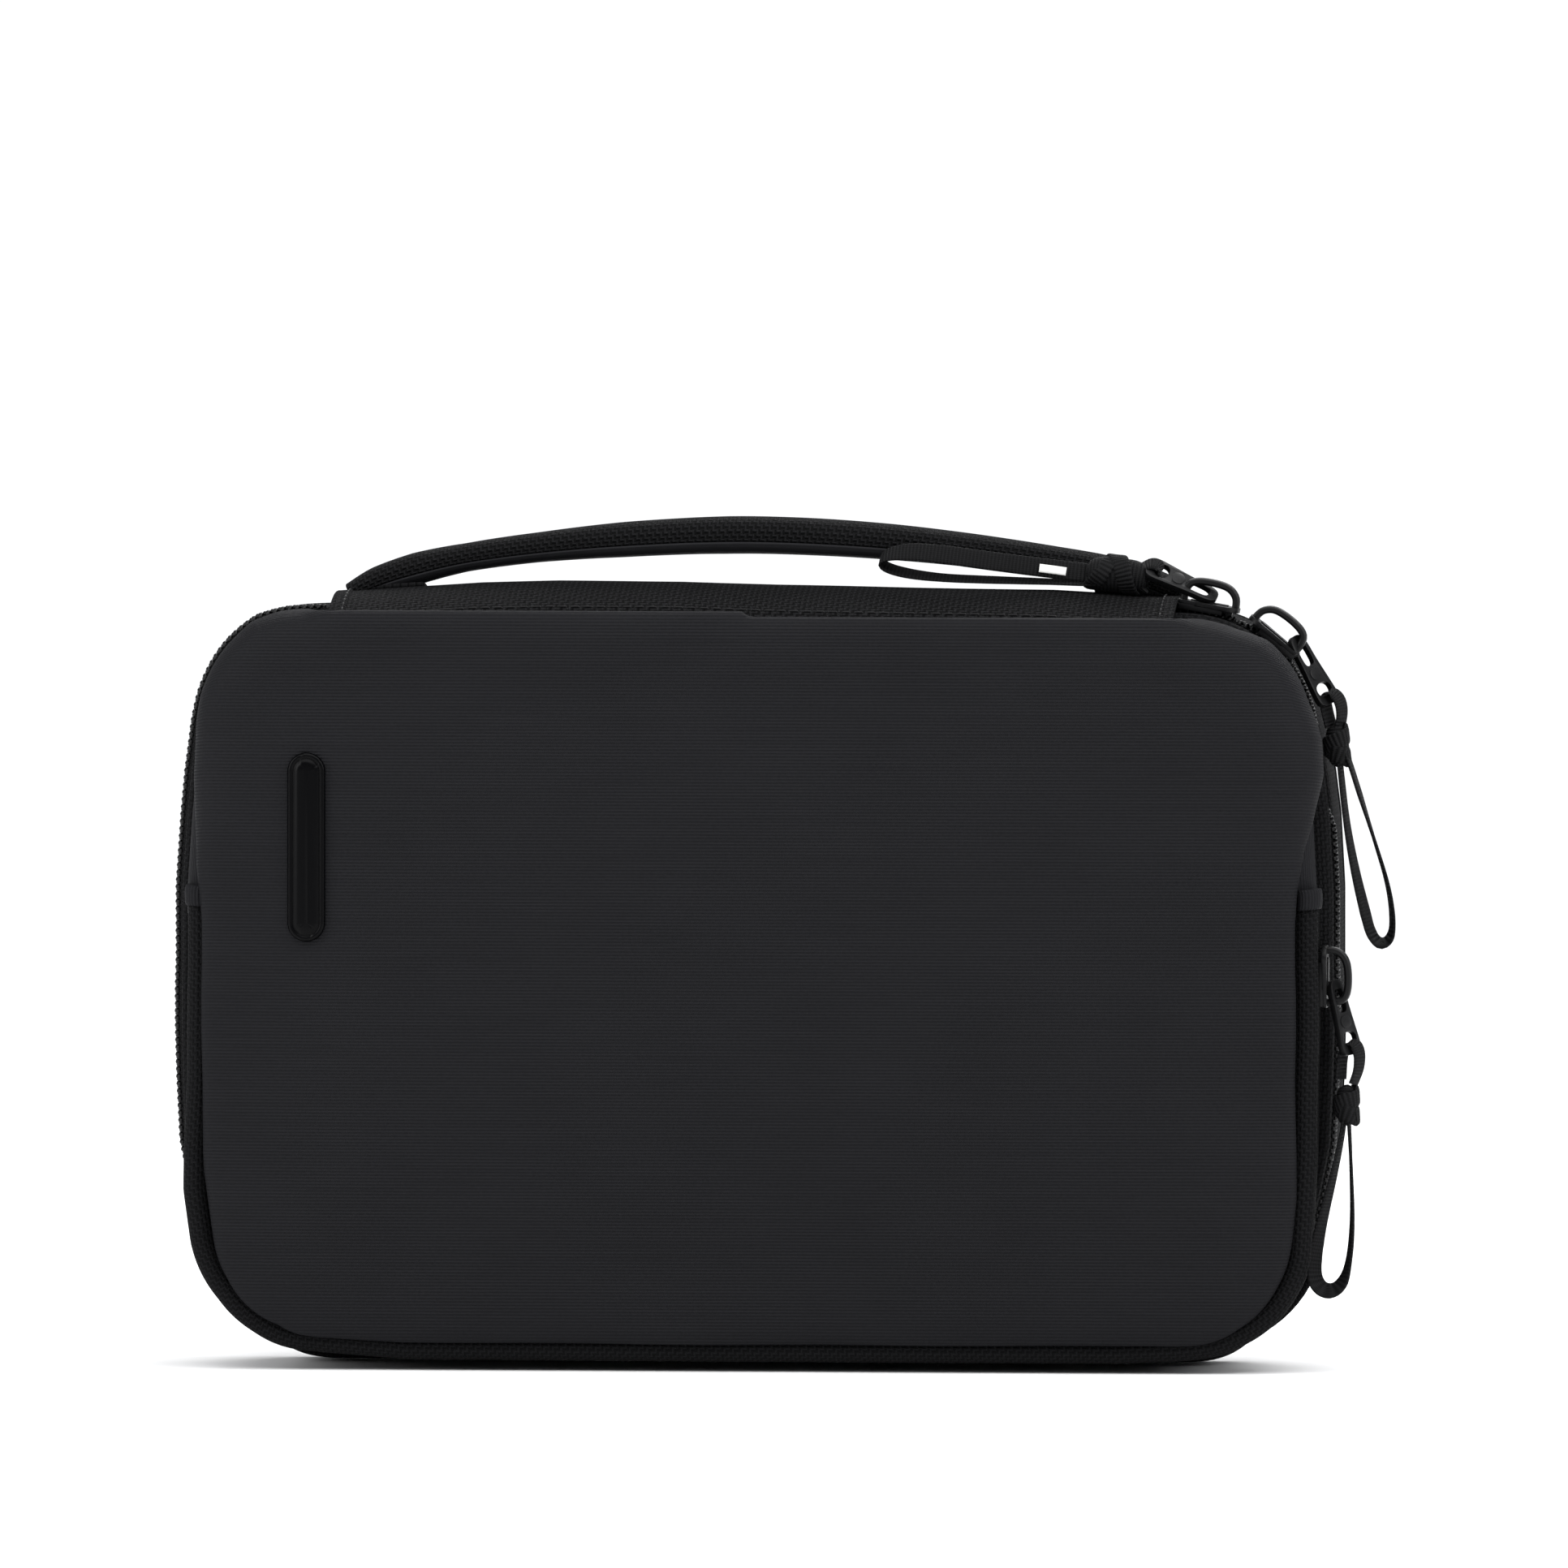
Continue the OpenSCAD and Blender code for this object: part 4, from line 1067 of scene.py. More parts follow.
# %% [markdown]
# ## Sliders and pulls
# A slider is die-cast zinc under black enamel: two plates with flanges that press the strands together,
# a post between them, and a bridge that holds the pull. It is drawn flat, as along, across and up, and
# then stood on its zip.

# %% Solid shapes in a slider's own frame


def stand(points, origin, y, angle):
    """Turns points of (along, across, up) so that along lies at angle in the X-Z plane."""
    c, s = math.cos(math.radians(angle)), math.sin(math.radians(angle))
    along, across, up = points[..., 0], points[..., 1], points[..., 2]
    return np.stack([origin[0] + c * along - s * up, y + across, origin[1] + s * along + c * up], -1)


def slab(outline_points, low, high, holes=()):
    """A flat plate between two heights, from an outline of (along, across) points and its holes."""
    loops = [np.asarray(outline_points, float)] + [np.asarray(h, float) for h in holes]
    flat = np.vstack(loops)
    tris = tessellate_polygon([[Vector((x, y, 0)) for x, y in loop] for loop in loops])
    count = len(flat)
    verts = np.vstack([np.column_stack([flat, np.full(count, low)]),
                       np.column_stack([flat, np.full(count, high)])])
    faces = []
    for a, b, c in tris:
        turn = np.cross(flat[b] - flat[a], flat[c] - flat[a])
        if abs(turn) < 1e-9:
            continue
        up = (a, b, c) if turn > 0 else (a, c, b)
        faces += [[k + count for k in up], list(up[::-1])]
    start = 0
    for number, loop in enumerate(loops):
        size = len(loop)
        area = np.sum(loop[:, 0] * np.roll(loop[:, 1], -1) - np.roll(loop[:, 0], -1) * loop[:, 1])
        forward = (area > 0) == (number == 0)
        for k in range(size):
            a, b = start + k, start + (k + 1) % size
            faces.append([a, b, b + count, a + count] if forward else [b, a, a + count, b + count])
        start += size
    return verts, faces

# %% [markdown]
# A bridge is a bar that is bent, not cut from plate. Its section is a rounded box carried along a line,
# with a normal worked out from the line's own direction.

# %% A bent bar


def rod(line, width, thick, sides=12, power=3.0):
    """A bar of rounded-box section, |a/width|^p + |b/thick|^p = 1, carried along a line of (along, up)
    points, with its width across."""
    line = np.asarray(line, float)
    tangent = np.gradient(line, axis=0)
    tangent /= np.linalg.norm(tangent, axis=1)[:, None]
    out = np.stack([-tangent[:, 1], tangent[:, 0]], -1)
    a = (np.arange(sides) + 0.5) * 2 * math.pi / sides
    wide = width / 2 * np.sign(np.cos(a)) * np.abs(np.cos(a)) ** (2 / power)
    tall = thick / 2 * np.sign(np.sin(a)) * np.abs(np.sin(a)) ** (2 / power)
    flat = line[:, None] + out[:, None] * tall[None, :, None]
    verts = np.stack([flat[..., 0], np.broadcast_to(wide, flat.shape[:2]), flat[..., 1]], -1)
    rows = len(line)
    faces = grid_faces(rows, sides, ring=True, flip=True).tolist()
    faces += [list(range(sides)), list(range(rows * sides - 1, (rows - 1) * sides - 1, -1))]
    return verts.reshape(-1, 3), faces

# %% [markdown]
# Seen from above a slider is a shield: parallel sides where the zip is closed, and wider where it
# parts. The two plates, four flanges, post, boss and bridge are separate closed shapes in one mesh, with
# a small bevel on every edge, because cast parts have no sharp ones.

# %% Slider bodies
TAPE = 1.5
PLAN = [(-6.5, -3.1), (-5.9, -3.5), (1.4, -3.5), (3.6, -4.4), (5.2, -4.0), (6.5, -2.2), (6.5, 2.2),
        (5.2, 4.0), (3.6, 4.4), (1.4, 3.5), (-5.9, 3.5), (-6.5, 3.1)]
BRIDGE = [(-5.5, 2.2), (-5.5, 4.4), (-4.9, 6.2), (-3.0, 7.0), (0.5, 7.1), (3.6, 6.6), (5.2, 5.0),
          (5.5, 3.6), (5.5, 2.2)]


def slider(name, origin, y, angle, turned=False):
    """Outer plate, inner plate, post, four flanges and bridge, stood at angle with its wide end ahead,
    or behind if it is turned."""
    plan = rounded(PLAN, 56, closed=True, rounds=2)
    short = plan * [0.9, 0.98]
    flange = [(-6.2, 0), (-6.2, 0.42), (1.6, 0.42), (3.0, 0.2), (3.0, 0)]
    post = [(1.6, -0.5), (5, -0.6), (5, 0.6), (1.6, 0.5)]
    parts = [slab(plan, 1.75, 2.7), slab(short, -3.5, -2.6), slab(post, -2.7, 1.9),
             rod(rounded(BRIDGE, 30), 2.5, 1.6), slab(plan * [0.62, 0.42], 2.6, 3.0)]
    for side in (-1, 1):
        edge = [(x, side * (3.5 - w)) for x, w in flange]
        parts += [slab(edge, 0.75, 1.9), slab(edge, -2.7, -1.9)]
    verts, faces = join(parts)
    verts = verts * ([-1, -1, 1] if turned else [1, 1, 1])
    return soften(build(name, stand(verts, origin, y, angle), faces), 0.16)


def on_arc(angle, up=0.0):
    """A point over the main zip's tape on the shoulder arc."""
    a = math.radians(angle)
    return SHOULDER + (ARC_R - TAPE + up) * np.array([math.cos(a), math.sin(a)])


SLIDER_1, SLIDER_2 = 80.2, 50
SLIDER_3 = np.array([HALF - 4.6, 82.5])
finish(slider("slider_top", on_arc(SLIDER_1), ZIP_Y, SLIDER_1 - 90), "spine", black_enamel, "slider_1_body")
finish(slider("slider_corner", on_arc(SLIDER_2), ZIP_Y, SLIDER_2 - 90, turned=True), "slider_2",
       black_enamel, "slider_2_body")
finish(slider("slider_side", SLIDER_3, POCKET_Y, -90, turned=True), "slider_3", black_enamel,
       "slider_3_body")

# %% [markdown]
# A pull has two windows: the near one loops through the bridge, and the ribbon passes through the far
# one. The plate between them stays plain.

# %% Pull tabs
BAR_UP = 4.2


def pull(name, origin, y, angle, lean):
    """A tapered plate with two rounded windows. It has play on its bridge, so it leans about its length."""
    outer = rounded([(-1.3, -1.4), (-1.3, 1.4), (0.4, 2.5), (5, 2.6), (9.5, 3.1), (13.6, 3.5), (14.8, 2.4),
                     (14.8, -2.4), (13.6, -3.5), (9.5, -3.1), (5, -2.6), (0.4, -2.5)], 60, closed=True,
                    rounds=2)
    near = rounded([(0.6, -1.0), (0.6, 1.0), (1.6, 1.6), (5.2, 1.6), (5.8, 0.9), (5.8, -0.9), (5.2, -1.6),
                    (1.6, -1.6)],
                   28, closed=True, rounds=2)
    far = rounded([(9.9, -2.3), (9.9, 2.3), (12.9, 2.5), (12.9, -2.5)], 24, closed=True, rounds=2)
    field = rounded([(6.4, -1.7), (9.1, -1.9), (9.1, 1.9), (6.4, 1.7)], 20, closed=True, rounds=2)
    verts, faces = join([slab(outer, -0.6, 0.6, holes=(near, far)), slab(field, -0.75, 0.75)])
    c, s = math.cos(math.radians(lean)), math.sin(math.radians(lean))
    along, across, up = verts.T
    verts = np.stack([along, c * across + s * up, c * up - s * across], -1)
    return soften(build(name, stand(verts, origin, y, angle), faces), 0.24)


BAR_1 = on_arc(SLIDER_1, BAR_UP)
ALONG_2 = np.array([math.sin(math.radians(SLIDER_2)), -math.cos(math.radians(SLIDER_2))])
BAR_2 = on_arc(SLIDER_2, BAR_UP) + 4.3 * ALONG_2
BAR_3 = SLIDER_3 + [BAR_UP, -2]
finish(pull("pull_top", BAR_1, ZIP_Y, 155, 33), "pull_1", black_enamel, "pull_tab_1")
finish(pull("pull_corner", BAR_2, ZIP_Y, -61, -35), "pull_2", black_enamel, "pull_tab_2")
finish(pull("pull_side", BAR_3, POCKET_Y, -76, -30), "pull_3", black_enamel, "pull_tab_3")
print("pulls hang from", BAR_1.round(1), BAR_2.round(1), BAR_3.round(1))

# %% [markdown]
# Each pull carries a loop of grosgrain ribbon, tied in one knot. A ribbon bends easily across its face
# and hardly at all across its edge, so as it turns its face twists slowly. The mesh follows a line, and
# a second list says which way the ribbon's width points at each place.

# %% Ribbons
RIBBON_W, RIBBON_T = 4.1, 0.75


def ribbon(line, wide, width=RIBBON_W, thick=RIBBON_T, sides=16, count=140):
    """A flat band of rounded section along a 3-D line. wide gives its width direction at each control
    point; between them it turns evenly."""
    line = np.asarray(line, float)
    wide = np.asarray(wide, float)
    path = rounded(line, count)
    share = np.linspace(0, 1, count)
    knots = lengths(line) / lengths(line)[-1]
    across = np.stack([np.interp(share, knots, wide[:, k]) for k in range(3)], -1)
    tangent = np.gradient(path, axis=0)
    tangent /= np.linalg.norm(tangent, axis=1)[:, None]
    across -= np.sum(across * tangent, 1)[:, None] * tangent
    across /= np.linalg.norm(across, axis=1)[:, None]
    out = np.cross(tangent, across)
    a = (np.arange(sides) + 0.5) * 2 * math.pi / sides
    w = width / 2 * np.sign(np.cos(a)) * np.abs(np.cos(a)) ** 0.4
    t = thick / 2 * np.sign(np.sin(a)) * np.abs(np.sin(a)) ** 0.8
    return path[:, None] + across[:, None] * w[None, :, None] + out[:, None] * t[None, :, None]


band_test = ribbon([(0, 0, 0), (5, 0, 1), (10, 0, 0)], [(0, 1, 0)] * 3, count=20)
print("a ribbon is", round(float(np.ptp(band_test[10, :, 1])), 2), "mm wide")

# %% [markdown]
# A knot reads as a lump with strands going over and under. Two short helices wound opposite ways round
# a core give that, at a fraction of a real knot's geometry.

# %% Knots


def knot_line(centre, y, angle, long, round_, turns=1.6, phase=0.0):
    """A helix of a few turns round the strands: along the strands it runs from end to end, while its
    radius swells in the middle like sin."""
    t = np.linspace(0, 1, 60)
    a = phase + 2 * math.pi * turns * t
    r = round_ * (0.74 + 0.26 * np.sin(math.pi * t))
    local = np.stack([(t - 0.5) * long, r * np.cos(a), r * np.sin(a)], -1)
    wide = np.broadcast_to([1.0, 0.25, 0.0], local.shape)
    return stand(local, centre, y, angle), stand(wide, (0, 0), 0, angle)


def tied(centre, y, angle, long, round_):
    """Two crossed wraps and a core, which together read as a pulled-tight overhand knot."""
    parts = []
    for phase, turns, size in ((0.3, 1.3, 1.0), (2.4, -1.1, 0.9)):
        line, wide = knot_line(centre, y, angle, long - 3.2, round_ * size - 0.3, turns, phase)
        parts.append(ribbon(line, wide, width=3.7, thick=0.95, count=90))
    a = np.linspace(0, 2 * math.pi, 17)[:-1]
    t = np.linspace(-1, 1, 14)
    swell = (round_ - 0.55) * np.sqrt(np.maximum(1 - np.abs(t) ** 4, 0.02))
    core = np.stack([np.broadcast_to((t * long / 2)[:, None], (14, 16)), swell[:, None] * np.cos(a),
                     swell[:, None] * np.sin(a)], -1)
    parts.append(stand(core, centre, y, angle))
    return parts

# %% [markdown]
# A ribbon piece is several bands in one mesh: the small eye through the pull, the long loop, and the
# knot. Each band has its own length as UV, so that its ribs stay even.

# %% Several bands as one piece


def ribbon_object(name, parts, body, *nodes):
    """Joins several bands into one piece, each closed at its ends, with its own length as UV."""
    verts, faces, uv, start = [], [], [], 0
    for points in parts:
        rows, cols = points.shape[:2]
        quads = grid_faces(rows, cols, ring=True, start=start)
        i, j = np.repeat(np.arange(rows - 1), cols), np.tile(np.arange(cols), rows - 1)
        along = lengths(points[:, 0])
        round_ = np.append(lengths(points[rows // 2]), 0)
        round_[-1] = round_[-2] + np.linalg.norm(points[rows // 2, 0] - points[rows // 2, -1])
        corners = ((i, j), (i + 1, j), (i + 1, j + 1), (i, j + 1))
        places = np.stack([np.stack([along[p], round_[q]], -1) for p, q in corners], 1)
        uv.append(places.reshape(-1, 2))
        faces.append(quads)
        verts.append(points.reshape(-1, 3))
        start += rows * cols
    caps, first = [], 0
    for points in parts:
        rows, cols = points.shape[:2]
        caps += [list(range(first + cols - 1, first - 1, -1)),
                 list(range(first + (rows - 1) * cols, first + rows * cols))]
        first += rows * cols
    obj = build(name, np.vstack(verts), np.vstack(faces).tolist() + caps, np.vstack(uv))
    return finish(obj, body, grosgrain, *nodes)

# %% [markdown]
# The first ribbon lies along the band to the left, over its upper strand's white patch. Its two strands
# part behind the knot and meet in a loop that stands on edge.

# %% Top ribbon
Y1 = ZIP_Y
eye_1 = ribbon([(79.5, Y1, 166.6), (82.5, Y1, 168.3), (84.6, Y1, 167.6), (84.4, Y1, 166.0),
                (82.0, Y1, 165.3), (79.0, Y1, 164.8)],
               [(0.2, 0.85, 0.48)] * 6, count=60)
loop_1 = ribbon([(76, Y1, 165.6), (70, Y1 - 0.8, 166.0), (60, Y1 - 1.5, 167.2), (48, Y1 - 2.0, 168.7),
                 (38, Y1 - 2.0, 170.1), (31, Y1 - 1.4, 170.5), (26.2, Y1 - 0.2, 169.6),
                 (25.8, Y1 + 0.7, 167.6), (30, Y1 + 0.9, 166.0), (38, Y1 + 0.7, 164.9),
                 (50, Y1 + 0.4, 164.5), (62, Y1, 164.2), (70, Y1, 163.9), (76, Y1, 164.2)],
                [(0, 0.5, 0.8), (0, 0.35, 0.95), (0, 0.3, 1), (0, 0.35, 1), (0, 0.4, 1), (0, 0.6, 0.9),
                 (0.1, 1, 0.7), (0.1, 1, 0.5), (0, 1, 0.5), (0, 1, 0.35), (0, 1, 0.3), (0, 1, 0.2),
                 (0, 1, 0.2), (0, 1, 0.2)])
knot_1 = tied((75.6, 165.6), Y1, 174, 14, 4.2)
ribbon_object("ribbon_top", [eye_1, loop_1] + knot_1, "pull_ribbon_1", "ribbon_1")
print("top loop:", round(float(np.ptp(loop_1[..., 0])), 1), "mm long")
mark = rounded([(59.4, Y1 - 2.3, 167.15), (62.2, Y1 - 2.15, 166.8), (65.0, Y1 - 2.0, 166.4)], 12)
mark_shape = ribbon(mark, [(0, 0.3, 1)] * 12, width=1.8, thick=0.5, count=16)
mark_piece = grid("ribbon_patch", mark_shape, ring=True, caps=True)
finish(mark_piece, "pull_ribbon_1", white_patch, "ribbon_mark_1")

# %% [markdown]
# The second hangs from the corner. Seen from the front its strands are almost on edge, and the loop
# turns its face at the bottom.

# %% Corner ribbon
Y2 = ZIP_Y
eye_2 = ribbon([(120.4, Y2, 134), (119.5, Y2, 137.5), (119.0, Y2, 140.4), (120.3, Y2, 141.6),
                (122.2, Y2, 140.0), (122.8, Y2, 137), (122.2, Y2, 133.6)],
               [(0.46, 0.85, 0.25)] * 7, count=60)
loop_2 = ribbon([(121.8, Y2, 131), (122.4, Y2, 125), (123.6, Y2, 114), (125.4, Y2, 104), (127.6, Y2, 95),
                 (128.8, Y2, 90.6), (130.8, Y2, 88.4), (133.0, Y2, 89.8), (133.4, Y2, 94), (132.4, Y2, 101),
                 (129.6, Y2, 110), (126.4, Y2, 120), (124.2, Y2, 127), (122.6, Y2, 131)],
                [(0.1, 1, 0), (0.15, 1, 0), (0.2, 1, 0), (0.35, 1, 0), (0.45, 1, 0.2), (0.3, 1, 0.5),
                 (0, 1, 0.6), (-0.3, 1, 0.5), (-0.3, 1, 0.1), (-0.2, 1, 0), (-0.1, 1, 0), (0.1, 1, 0),
                 (0.1, 1, 0), (0.1, 1, 0)])
knot_2 = tied((121.8, 130.2), Y2, -84, 9.4, 2.9)
ribbon_object("ribbon_corner", [eye_2, loop_2] + knot_2, "pull_ribbon_2", "ribbon_2")
print("corner loop:", round(float(np.ptp(loop_2[..., 2])), 1), "mm long")

# %% [markdown]
# The third hangs from the front zip's slider.

# %% Side ribbon
Y3 = POCKET_Y
eye_3 = ribbon([(123.4, Y3, 61), (123.6, Y3, 65), (124.4, Y3, 68.2), (126.2, Y3, 68.8), (127.4, Y3, 66.6),
                (127.2, Y3, 63), (126.0, Y3, 60)],
               [(0.46, 0.85, 0.25)] * 7, count=60)
loop_3 = ribbon([(124.4, Y3, 56), (124.0, Y3, 51), (122.2, Y3, 42), (119.4, Y3, 31), (117.8, Y3 - 0.6, 23),
                 (118.2, Y3 - 1.2, 18.2), (121.0, Y3 - 1.4, 16.4), (124.0, Y3 - 1, 18.2), (125.4, Y3, 24),
                 (125.9, Y3, 32), (125.6, Y3, 42), (125.2, Y3, 51), (124.8, Y3, 56)],
                [(0, 1, 0), (0.1, 1, 0), (0.25, 1, 0), (0.5, 1, 0), (0.9, 1, 0.2), (0.7, 1, 0.9),
                 (0.1, 1, 1.1), (-0.3, 1, 0.8), (-0.3, 1, 0), (-0.2, 1, 0), (-0.1, 1, 0), (0, 1, 0),
                 (0, 1, 0)])
knot_3 = tied((124.8, 55.6), Y3, -88, 8.6, 2.9)
ribbon_object("ribbon_side", [eye_3, loop_3] + knot_3, "pull_ribbon_3", "ribbon_3")
print("side loop:", round(float(np.ptp(loop_3[..., 2])), 1), "mm long")

# %% [markdown]
# ## Badge and tabs
# The badge is a moulded rubber bar, blank, with a groove inside its rim. It sits on the panel, so the
# foot of every ring takes its depth from the panel's mesh. Rings of a stadium shape, each one further
# in, give the profile.

# %% Badge


def face_y(x, z):
    """Depth of the front panel at (x, z), from the nearest point of its mesh."""
    flat = front.reshape(-1, 3)
    return flat[np.argmin((flat[:, 0] - x) ** 2 + (flat[:, 2] - z) ** 2), 1]


BADGE_X, BADGE_LOW, BADGE_HIGH, BADGE_HALF = -92.2, 89.5, 129.0, 4.0


def badge():
    """A stadium-shaped bar: rings of the outline scaled towards its middle line, which rise like a
    quarter circle at the rim, dip in a narrow groove and rise again to a flat field."""
    a = np.radians(np.arange(0, 360, 6) + 3)
    rings = [(0.0, 0.0), (0.0, -0.7), (0.12, -1.15), (0.45, -1.4), (0.9, -1.45), (1.1, -1.2), (1.35, -1.2),
             (1.55, -1.5), (2.4, -1.62), (3.6, -1.7)]
    rows = []
    for inset, rise in rings:
        r = BADGE_HALF - inset
        mid = np.where(np.sin(a) > 0, BADGE_HIGH - BADGE_HALF, BADGE_LOW + BADGE_HALF)
        x = BADGE_X + r * np.cos(a)
        z = mid + r * np.sin(a)
        base = np.array([face_y(p, q) for p, q in zip(x, z)])
        rows.append(np.stack([x, base + 0.25 + rise, z], -1))
    points = np.stack(rows)
    field = list(range((len(rings) - 1) * len(a), len(rings) * len(a)))
    faces = grid_faces(len(rings), len(a), ring=True, flip=True).tolist() + [field]
    return build("front_badge_bar", points.reshape(-1, 3), faces)


finish(badge(), "lid", gloss_rubber, "front_badge")
print("badge", BADGE_HIGH - BADGE_LOW, "by", 2 * BADGE_HALF, "mm")

# %% [markdown]
# A small tab of the front's cloth is folded over the end of the front zip on each side. It is the
# gusset's section, a little fuller, over four millimetres of height.

# %% Side tabs
for side, place in (("right", tab_right), ("left", tab_left)):
    s = stretch(place - 4.2 if side == "right" else place, place if side == "right" else place + 4.2, 0.35)
    shape = rounded([(8.5, -26.4), (7.2, -27.9), (5.2, -28.0), (3.7, -26.8), (3.2, -25.2), (3.1, -22.6),
                     (4.2, -21.8), (6.0, -24.0), (8.0, -25.4)], 26, closed=True)
    swell = 0.25 * np.sin(np.linspace(0, math.pi, len(s))) ** 0.4 + 3.7 - gusset_edge(s)
    tab = grid(f"side_tab_{side}", along_edge(s, shape[None, :, 0] - swell[:, None],
                                              np.broadcast_to(shape[:, 1], (len(s), 26))),
               ring=True, caps=True, flip=True)
    finish(tab, "lid", coated_nylon, *(["side_tabs"] if side == "right" else []))

# %% [markdown]
# ## Inside
# Opened, the pouch shows its linings, two rows of elastic loops on the back, a mesh pocket on the
# divider, and the bound seams. A lining is a panel with hardly any crown, as thin as its cloth.

# %% Linings


def lining(name, inset, y, body, material, *nodes, crown=0.0, bend=None, flip=False):
    """A flat sheet that fills the outline at a given inset, with a slight crown towards its middle."""
    edge_points = np.stack([np.array([inset, inset + 3, 18.0]), np.full(3, y)], -1)
    points = panel(np.broadcast_to(edge_points, (STATIONS, 3, 2)), y + crown, rings=10)
    obj = panel_mesh(name, points, flip=flip, uv_from=points)
    thicken(obj, 0.5)
    return finish(obj, body, material, *nodes, bend=bend)


lining("back_inside", 2.6, 18.5, "back_half", lining_cloth, "back_lining", flip=True)
lining("divider_rear_face", 4.6, -11.9, "lid", lining_cloth, "divider_panel", crown=0.5)
lining("divider_front_face", 4.6, -14.5, "lid", lining_cloth, "pocket_lining", crown=-0.2, flip=True)
lining("front_inside", 8.8, -26.0, ("lid", "flap"), lining_cloth, "flap_lining", bend=FOLD)
finish(strip("back_binding", 0, ROUND - 0.01, [(2.4, 18.3), (2.2, 17.0), (3.0, 16.4), (3.9, 17.0),
                                               (3.9, 18.2)], count=12, step=2.5),
       "back_half", edge_binding, "back_seam_binding")

# %% [markdown]
# The front zip is reversed, so its teeth are inside. The same function makes them, with up turned
# over.

# %% Teeth of the front zip
for name, y, side, body, bend, nodes in (
        ("pocket_coil_rear", POCKET_Y + 0.95, 1, "lid", None,
         ["rear_pocket_zip_coil", "upper_pocket_zip_coil"]),
        ("pocket_coil_front", POCKET_Y - 0.95, -1, ("lid", "flap"), FOLD, ["flap_zip_coil"])):
    coil = teeth(name, tab_right - 1, tab_left + 1, y, side, 4.95, pocket_shift, up=-1)
    finish(coil, body, coil_nylon, *nodes, bend=bend)

# %% [markdown]
# The elastic loops are one long band: between loops it lies on the lining and is stitched down, and at
# each loop it stands off in a low arch that grips a charger.

# %% Elastic loops
LOOP_BOX = mm_box("upper_elastic_loops")


def elastic_row(name, low, high, *nodes):
    """The band's line in plan: y follows a flattened arch over each loop and the lining between them."""
    x = np.linspace(-89, 89, 420)
    phase = (x + 90) / 36 % 1
    inside = np.clip(1 - np.abs(phase - 0.5) / 0.41, 0, 1)
    y = 17.7 - 5.6 * np.clip(inside * 2.6, 0, 1) ** 0.5 * (0.9 + 0.1 * np.sin(math.pi * inside / 2))
    z = np.linspace(low, high, 14)
    waist = 0.35 * np.sin(np.linspace(0, math.pi, 14))
    xx, zz = np.meshgrid(x, z, indexing="ij")
    yy = np.broadcast_to(y[:, None], xx.shape) + waist[None] * inside[:, None]
    elastic = thicken(grid(name, np.stack([xx, yy, zz], -1)), 1.0, 0)
    return finish(elastic, "back_half", ribbed_elastic, *nodes)


elastic_row("elastic_upper", LOOP_BOX[0][2], LOOP_BOX[1][2], "upper_elastic_loops")
LOWER_BOX = mm_box("lower_elastic_loops")
elastic_row("elastic_lower", LOWER_BOX[0][2], LOWER_BOX[1][2], "lower_elastic_loops")

bars = []
for low, high in ((LOOP_BOX[0][2], LOOP_BOX[1][2]), (LOWER_BOX[0][2], LOWER_BOX[1][2])):
    for x in np.arange(-90, 91, 36) * 0.985:
        bar = np.stack([np.full(20, x), np.full(20, 17.15), np.linspace(low - 1, high + 1, 20)], -1)
        bars.append(stitches(bar, [0, -1, 0], pitch=2.3, long=1.7))
finish(build("elastic_stitches", *join(bars)), "back_half", thread)

# %% [markdown]
# The mesh is a real net: each cell is a small square with an eight-sided hole. It is sewn to the
# divider on three sides and bound along its mouth.

# %% Mesh pocket
MESH_LOW, MESH_HIGH = mm_box("mesh_pocket")


def net(width, height, cell):
    """Every cell has eight points on its border and eight on its hole, joined by eight quads. Cells are
    placed by adding their corner to one pattern. The sheet bows out by a product of sines."""
    nx, nz = int(width / cell), int(height / cell)
    a = np.radians(np.arange(8) * 45 + 22.5)
    hole = 0.5 + 0.36 * np.stack([np.cos(a), np.sin(a)], -1)
    border = 0.5 + np.clip(0.75 * np.stack([np.cos(a), np.sin(a)], -1), -0.5, 0.5)
    pattern = np.vstack([border, hole])
    i, j = np.meshgrid(np.arange(nx), np.arange(nz), indexing="ij")
    corner = np.stack([i.ravel(), j.ravel()], -1)
    flat = (corner[:, None] + pattern[None]).reshape(-1, 2)
    quads = np.array([[k, (k + 1) % 8, (k + 1) % 8 + 8, k + 8] for k in range(8)])
    faces = (np.arange(len(corner))[:, None, None] * 16 + quads[None]).reshape(-1, 4)
    u, v = flat[:, 0] / nx, flat[:, 1] / nz
    x = MESH_LOW[0] + u * width
    z = MESH_LOW[2] + v * height
    y = MESH_HIGH[1] + 0.9 * np.sin(math.pi * u) * np.sin(math.pi * v * 0.9) - 0.4
    uv = np.stack([x, z], -1)[faces.ravel()]
    return build("mesh_net", np.stack([x, y, z], -1), faces.tolist(), uv)


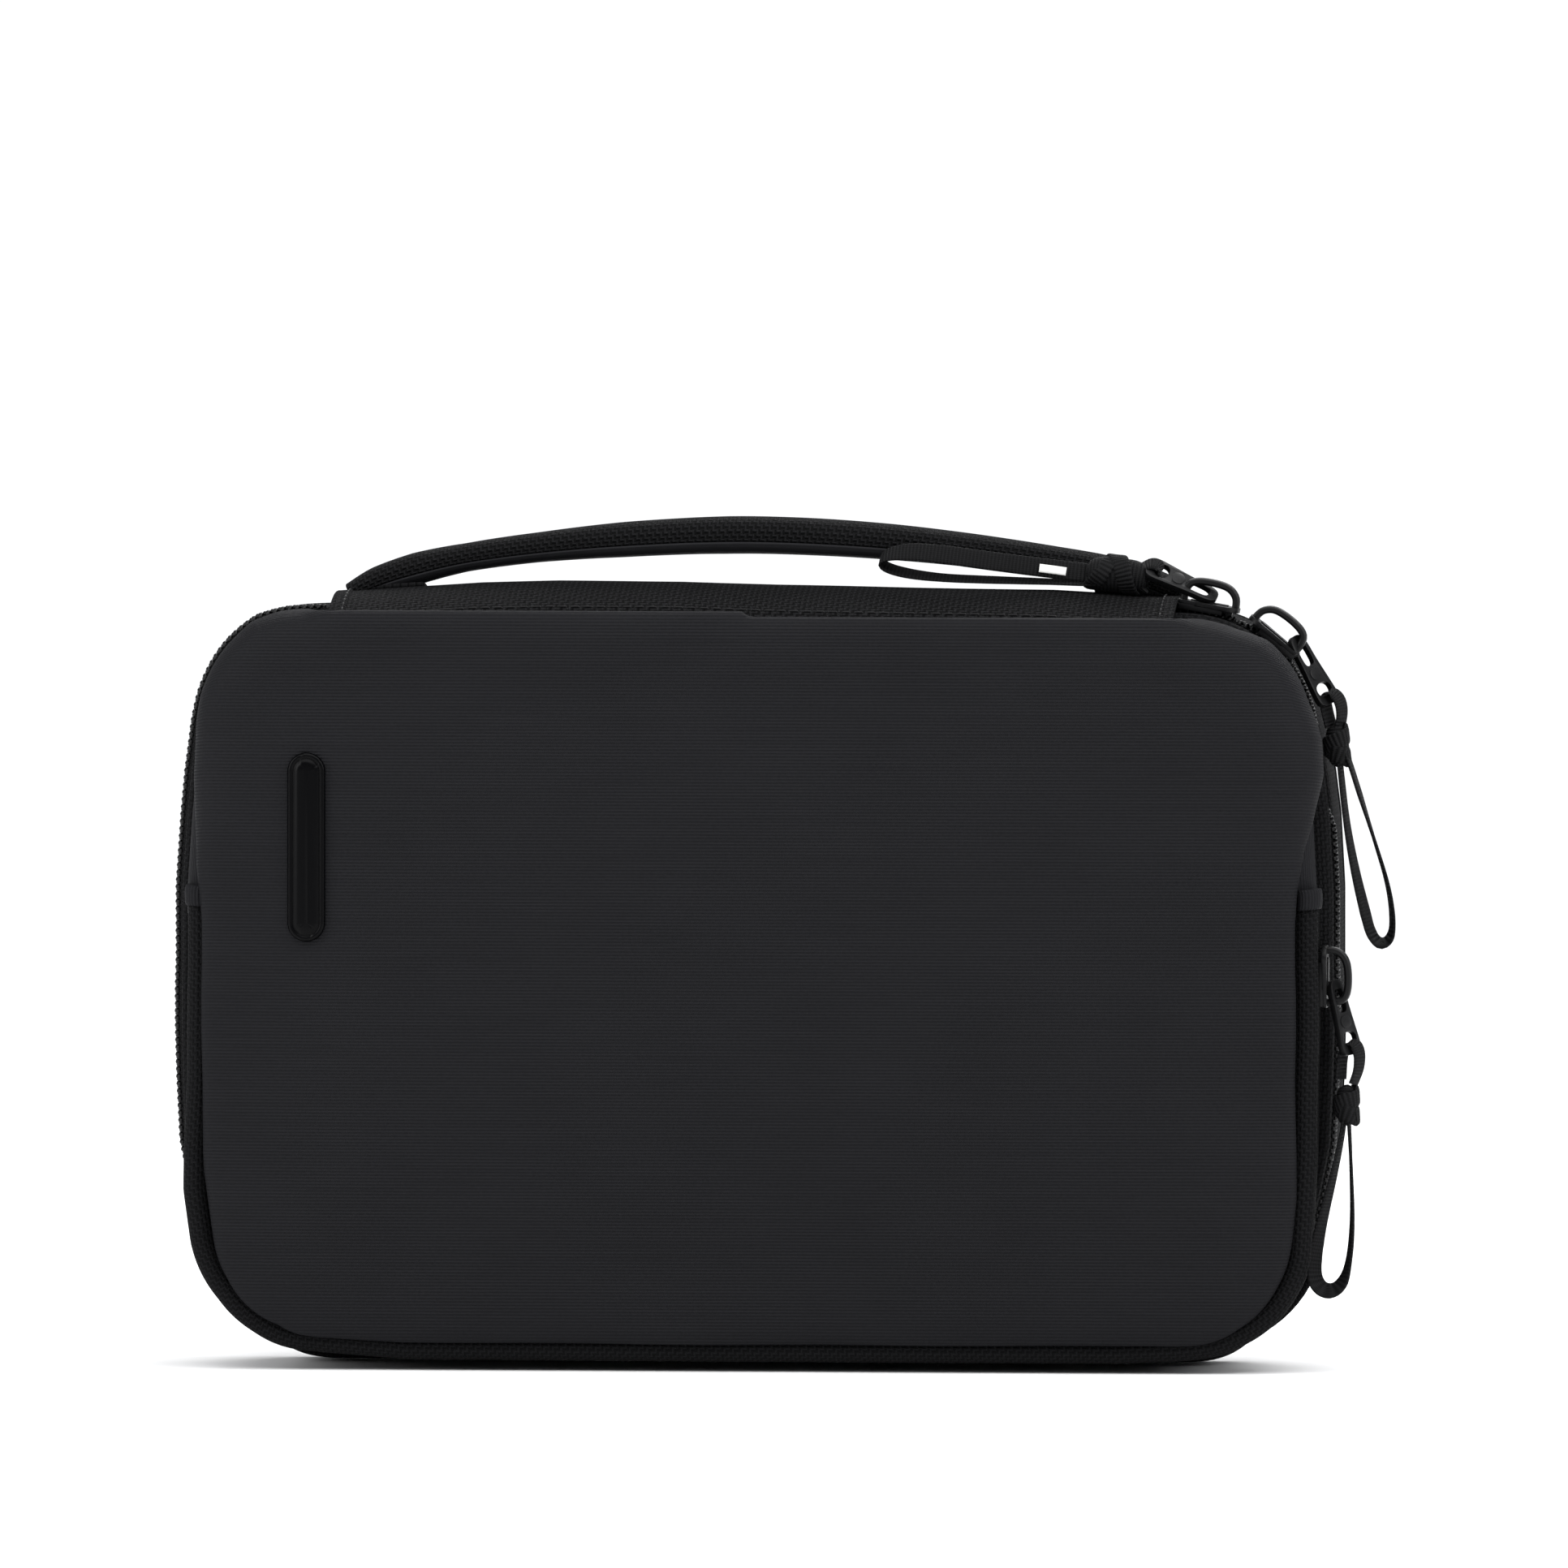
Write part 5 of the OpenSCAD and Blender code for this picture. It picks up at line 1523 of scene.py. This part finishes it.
mesh_net = thicken(net(MESH_HIGH[0] - MESH_LOW[0], MESH_HIGH[2] - MESH_LOW[2], 2.6), 0.4, 0)
finish(mesh_net, "lid", knit_mesh, "mesh_pocket")

# %% [markdown]
# Binding covers the net's sewn edges and its mouth. Both are tubes of rounded-box section along a
# line.

# %% Binding of the mesh pocket
frame_line = rounded([(-98.5, 93.5), (-98.5, 17), (-96, 15.5), (96, 15.5), (98.5, 17), (98.5, 93.5)], 120,
                     rounds=2)
for name, line, low_y, high_y in (("mesh_frame", frame_line, -11.9, -9.6),
                                  ("mesh_mouth", np.array([(x, 93.0) for x in np.linspace(-100, 100, 60)]),
                                   -10.6, -9.0)):
    tangent = np.gradient(line, axis=0)
    tangent /= np.linalg.norm(tangent, axis=1)[:, None]
    out = np.stack([-tangent[:, 1], tangent[:, 0]], -1)
    a = np.arange(16) * math.pi / 8
    wide = 1.6 * np.sign(np.cos(a)) * np.abs(np.cos(a)) ** 0.6
    deep = (high_y - low_y) / 2 * np.sign(np.sin(a)) * np.abs(np.sin(a)) ** 0.6 + (high_y + low_y) / 2
    flat = line[:, None] + out[:, None] * wide[None, :, None]
    tube = grid(name, np.stack([flat[..., 0], np.broadcast_to(deep, flat.shape[:2]), flat[..., 1]], -1),
                ring=True, caps=True)
    finish(tube, "lid", edge_binding, *(["mesh_pocket_binding"] if name == "mesh_frame" else []))
print("net", len(mesh_net.data.polygons), "quads")

# %% [markdown]
# ## Floor
# One pale disc. It isn't part of the pouch.

# %% Floor
bpy.ops.mesh.primitive_circle_add(vertices=96, radius=30, fill_type="NGON", location=(0, 0, -0.0004))
floor = bpy.context.object
floor.name = "floor"
paper = bpy.data.materials.new("matt_white_paper")
paper.use_nodes = True
paper_tree = paper.node_tree
paper_tree.nodes.clear()
paper_skin = add(paper_tree, "ShaderNodeBsdfPrincipled", {"Base Color": linear("#f7f7f7"), "Roughness": 0.9,
                                                          "Specular IOR Level": 0.1})
add(paper_tree, "ShaderNodeOutputMaterial", {"Surface": paper_skin.outputs[0]})
floor.data.materials.append(paper)
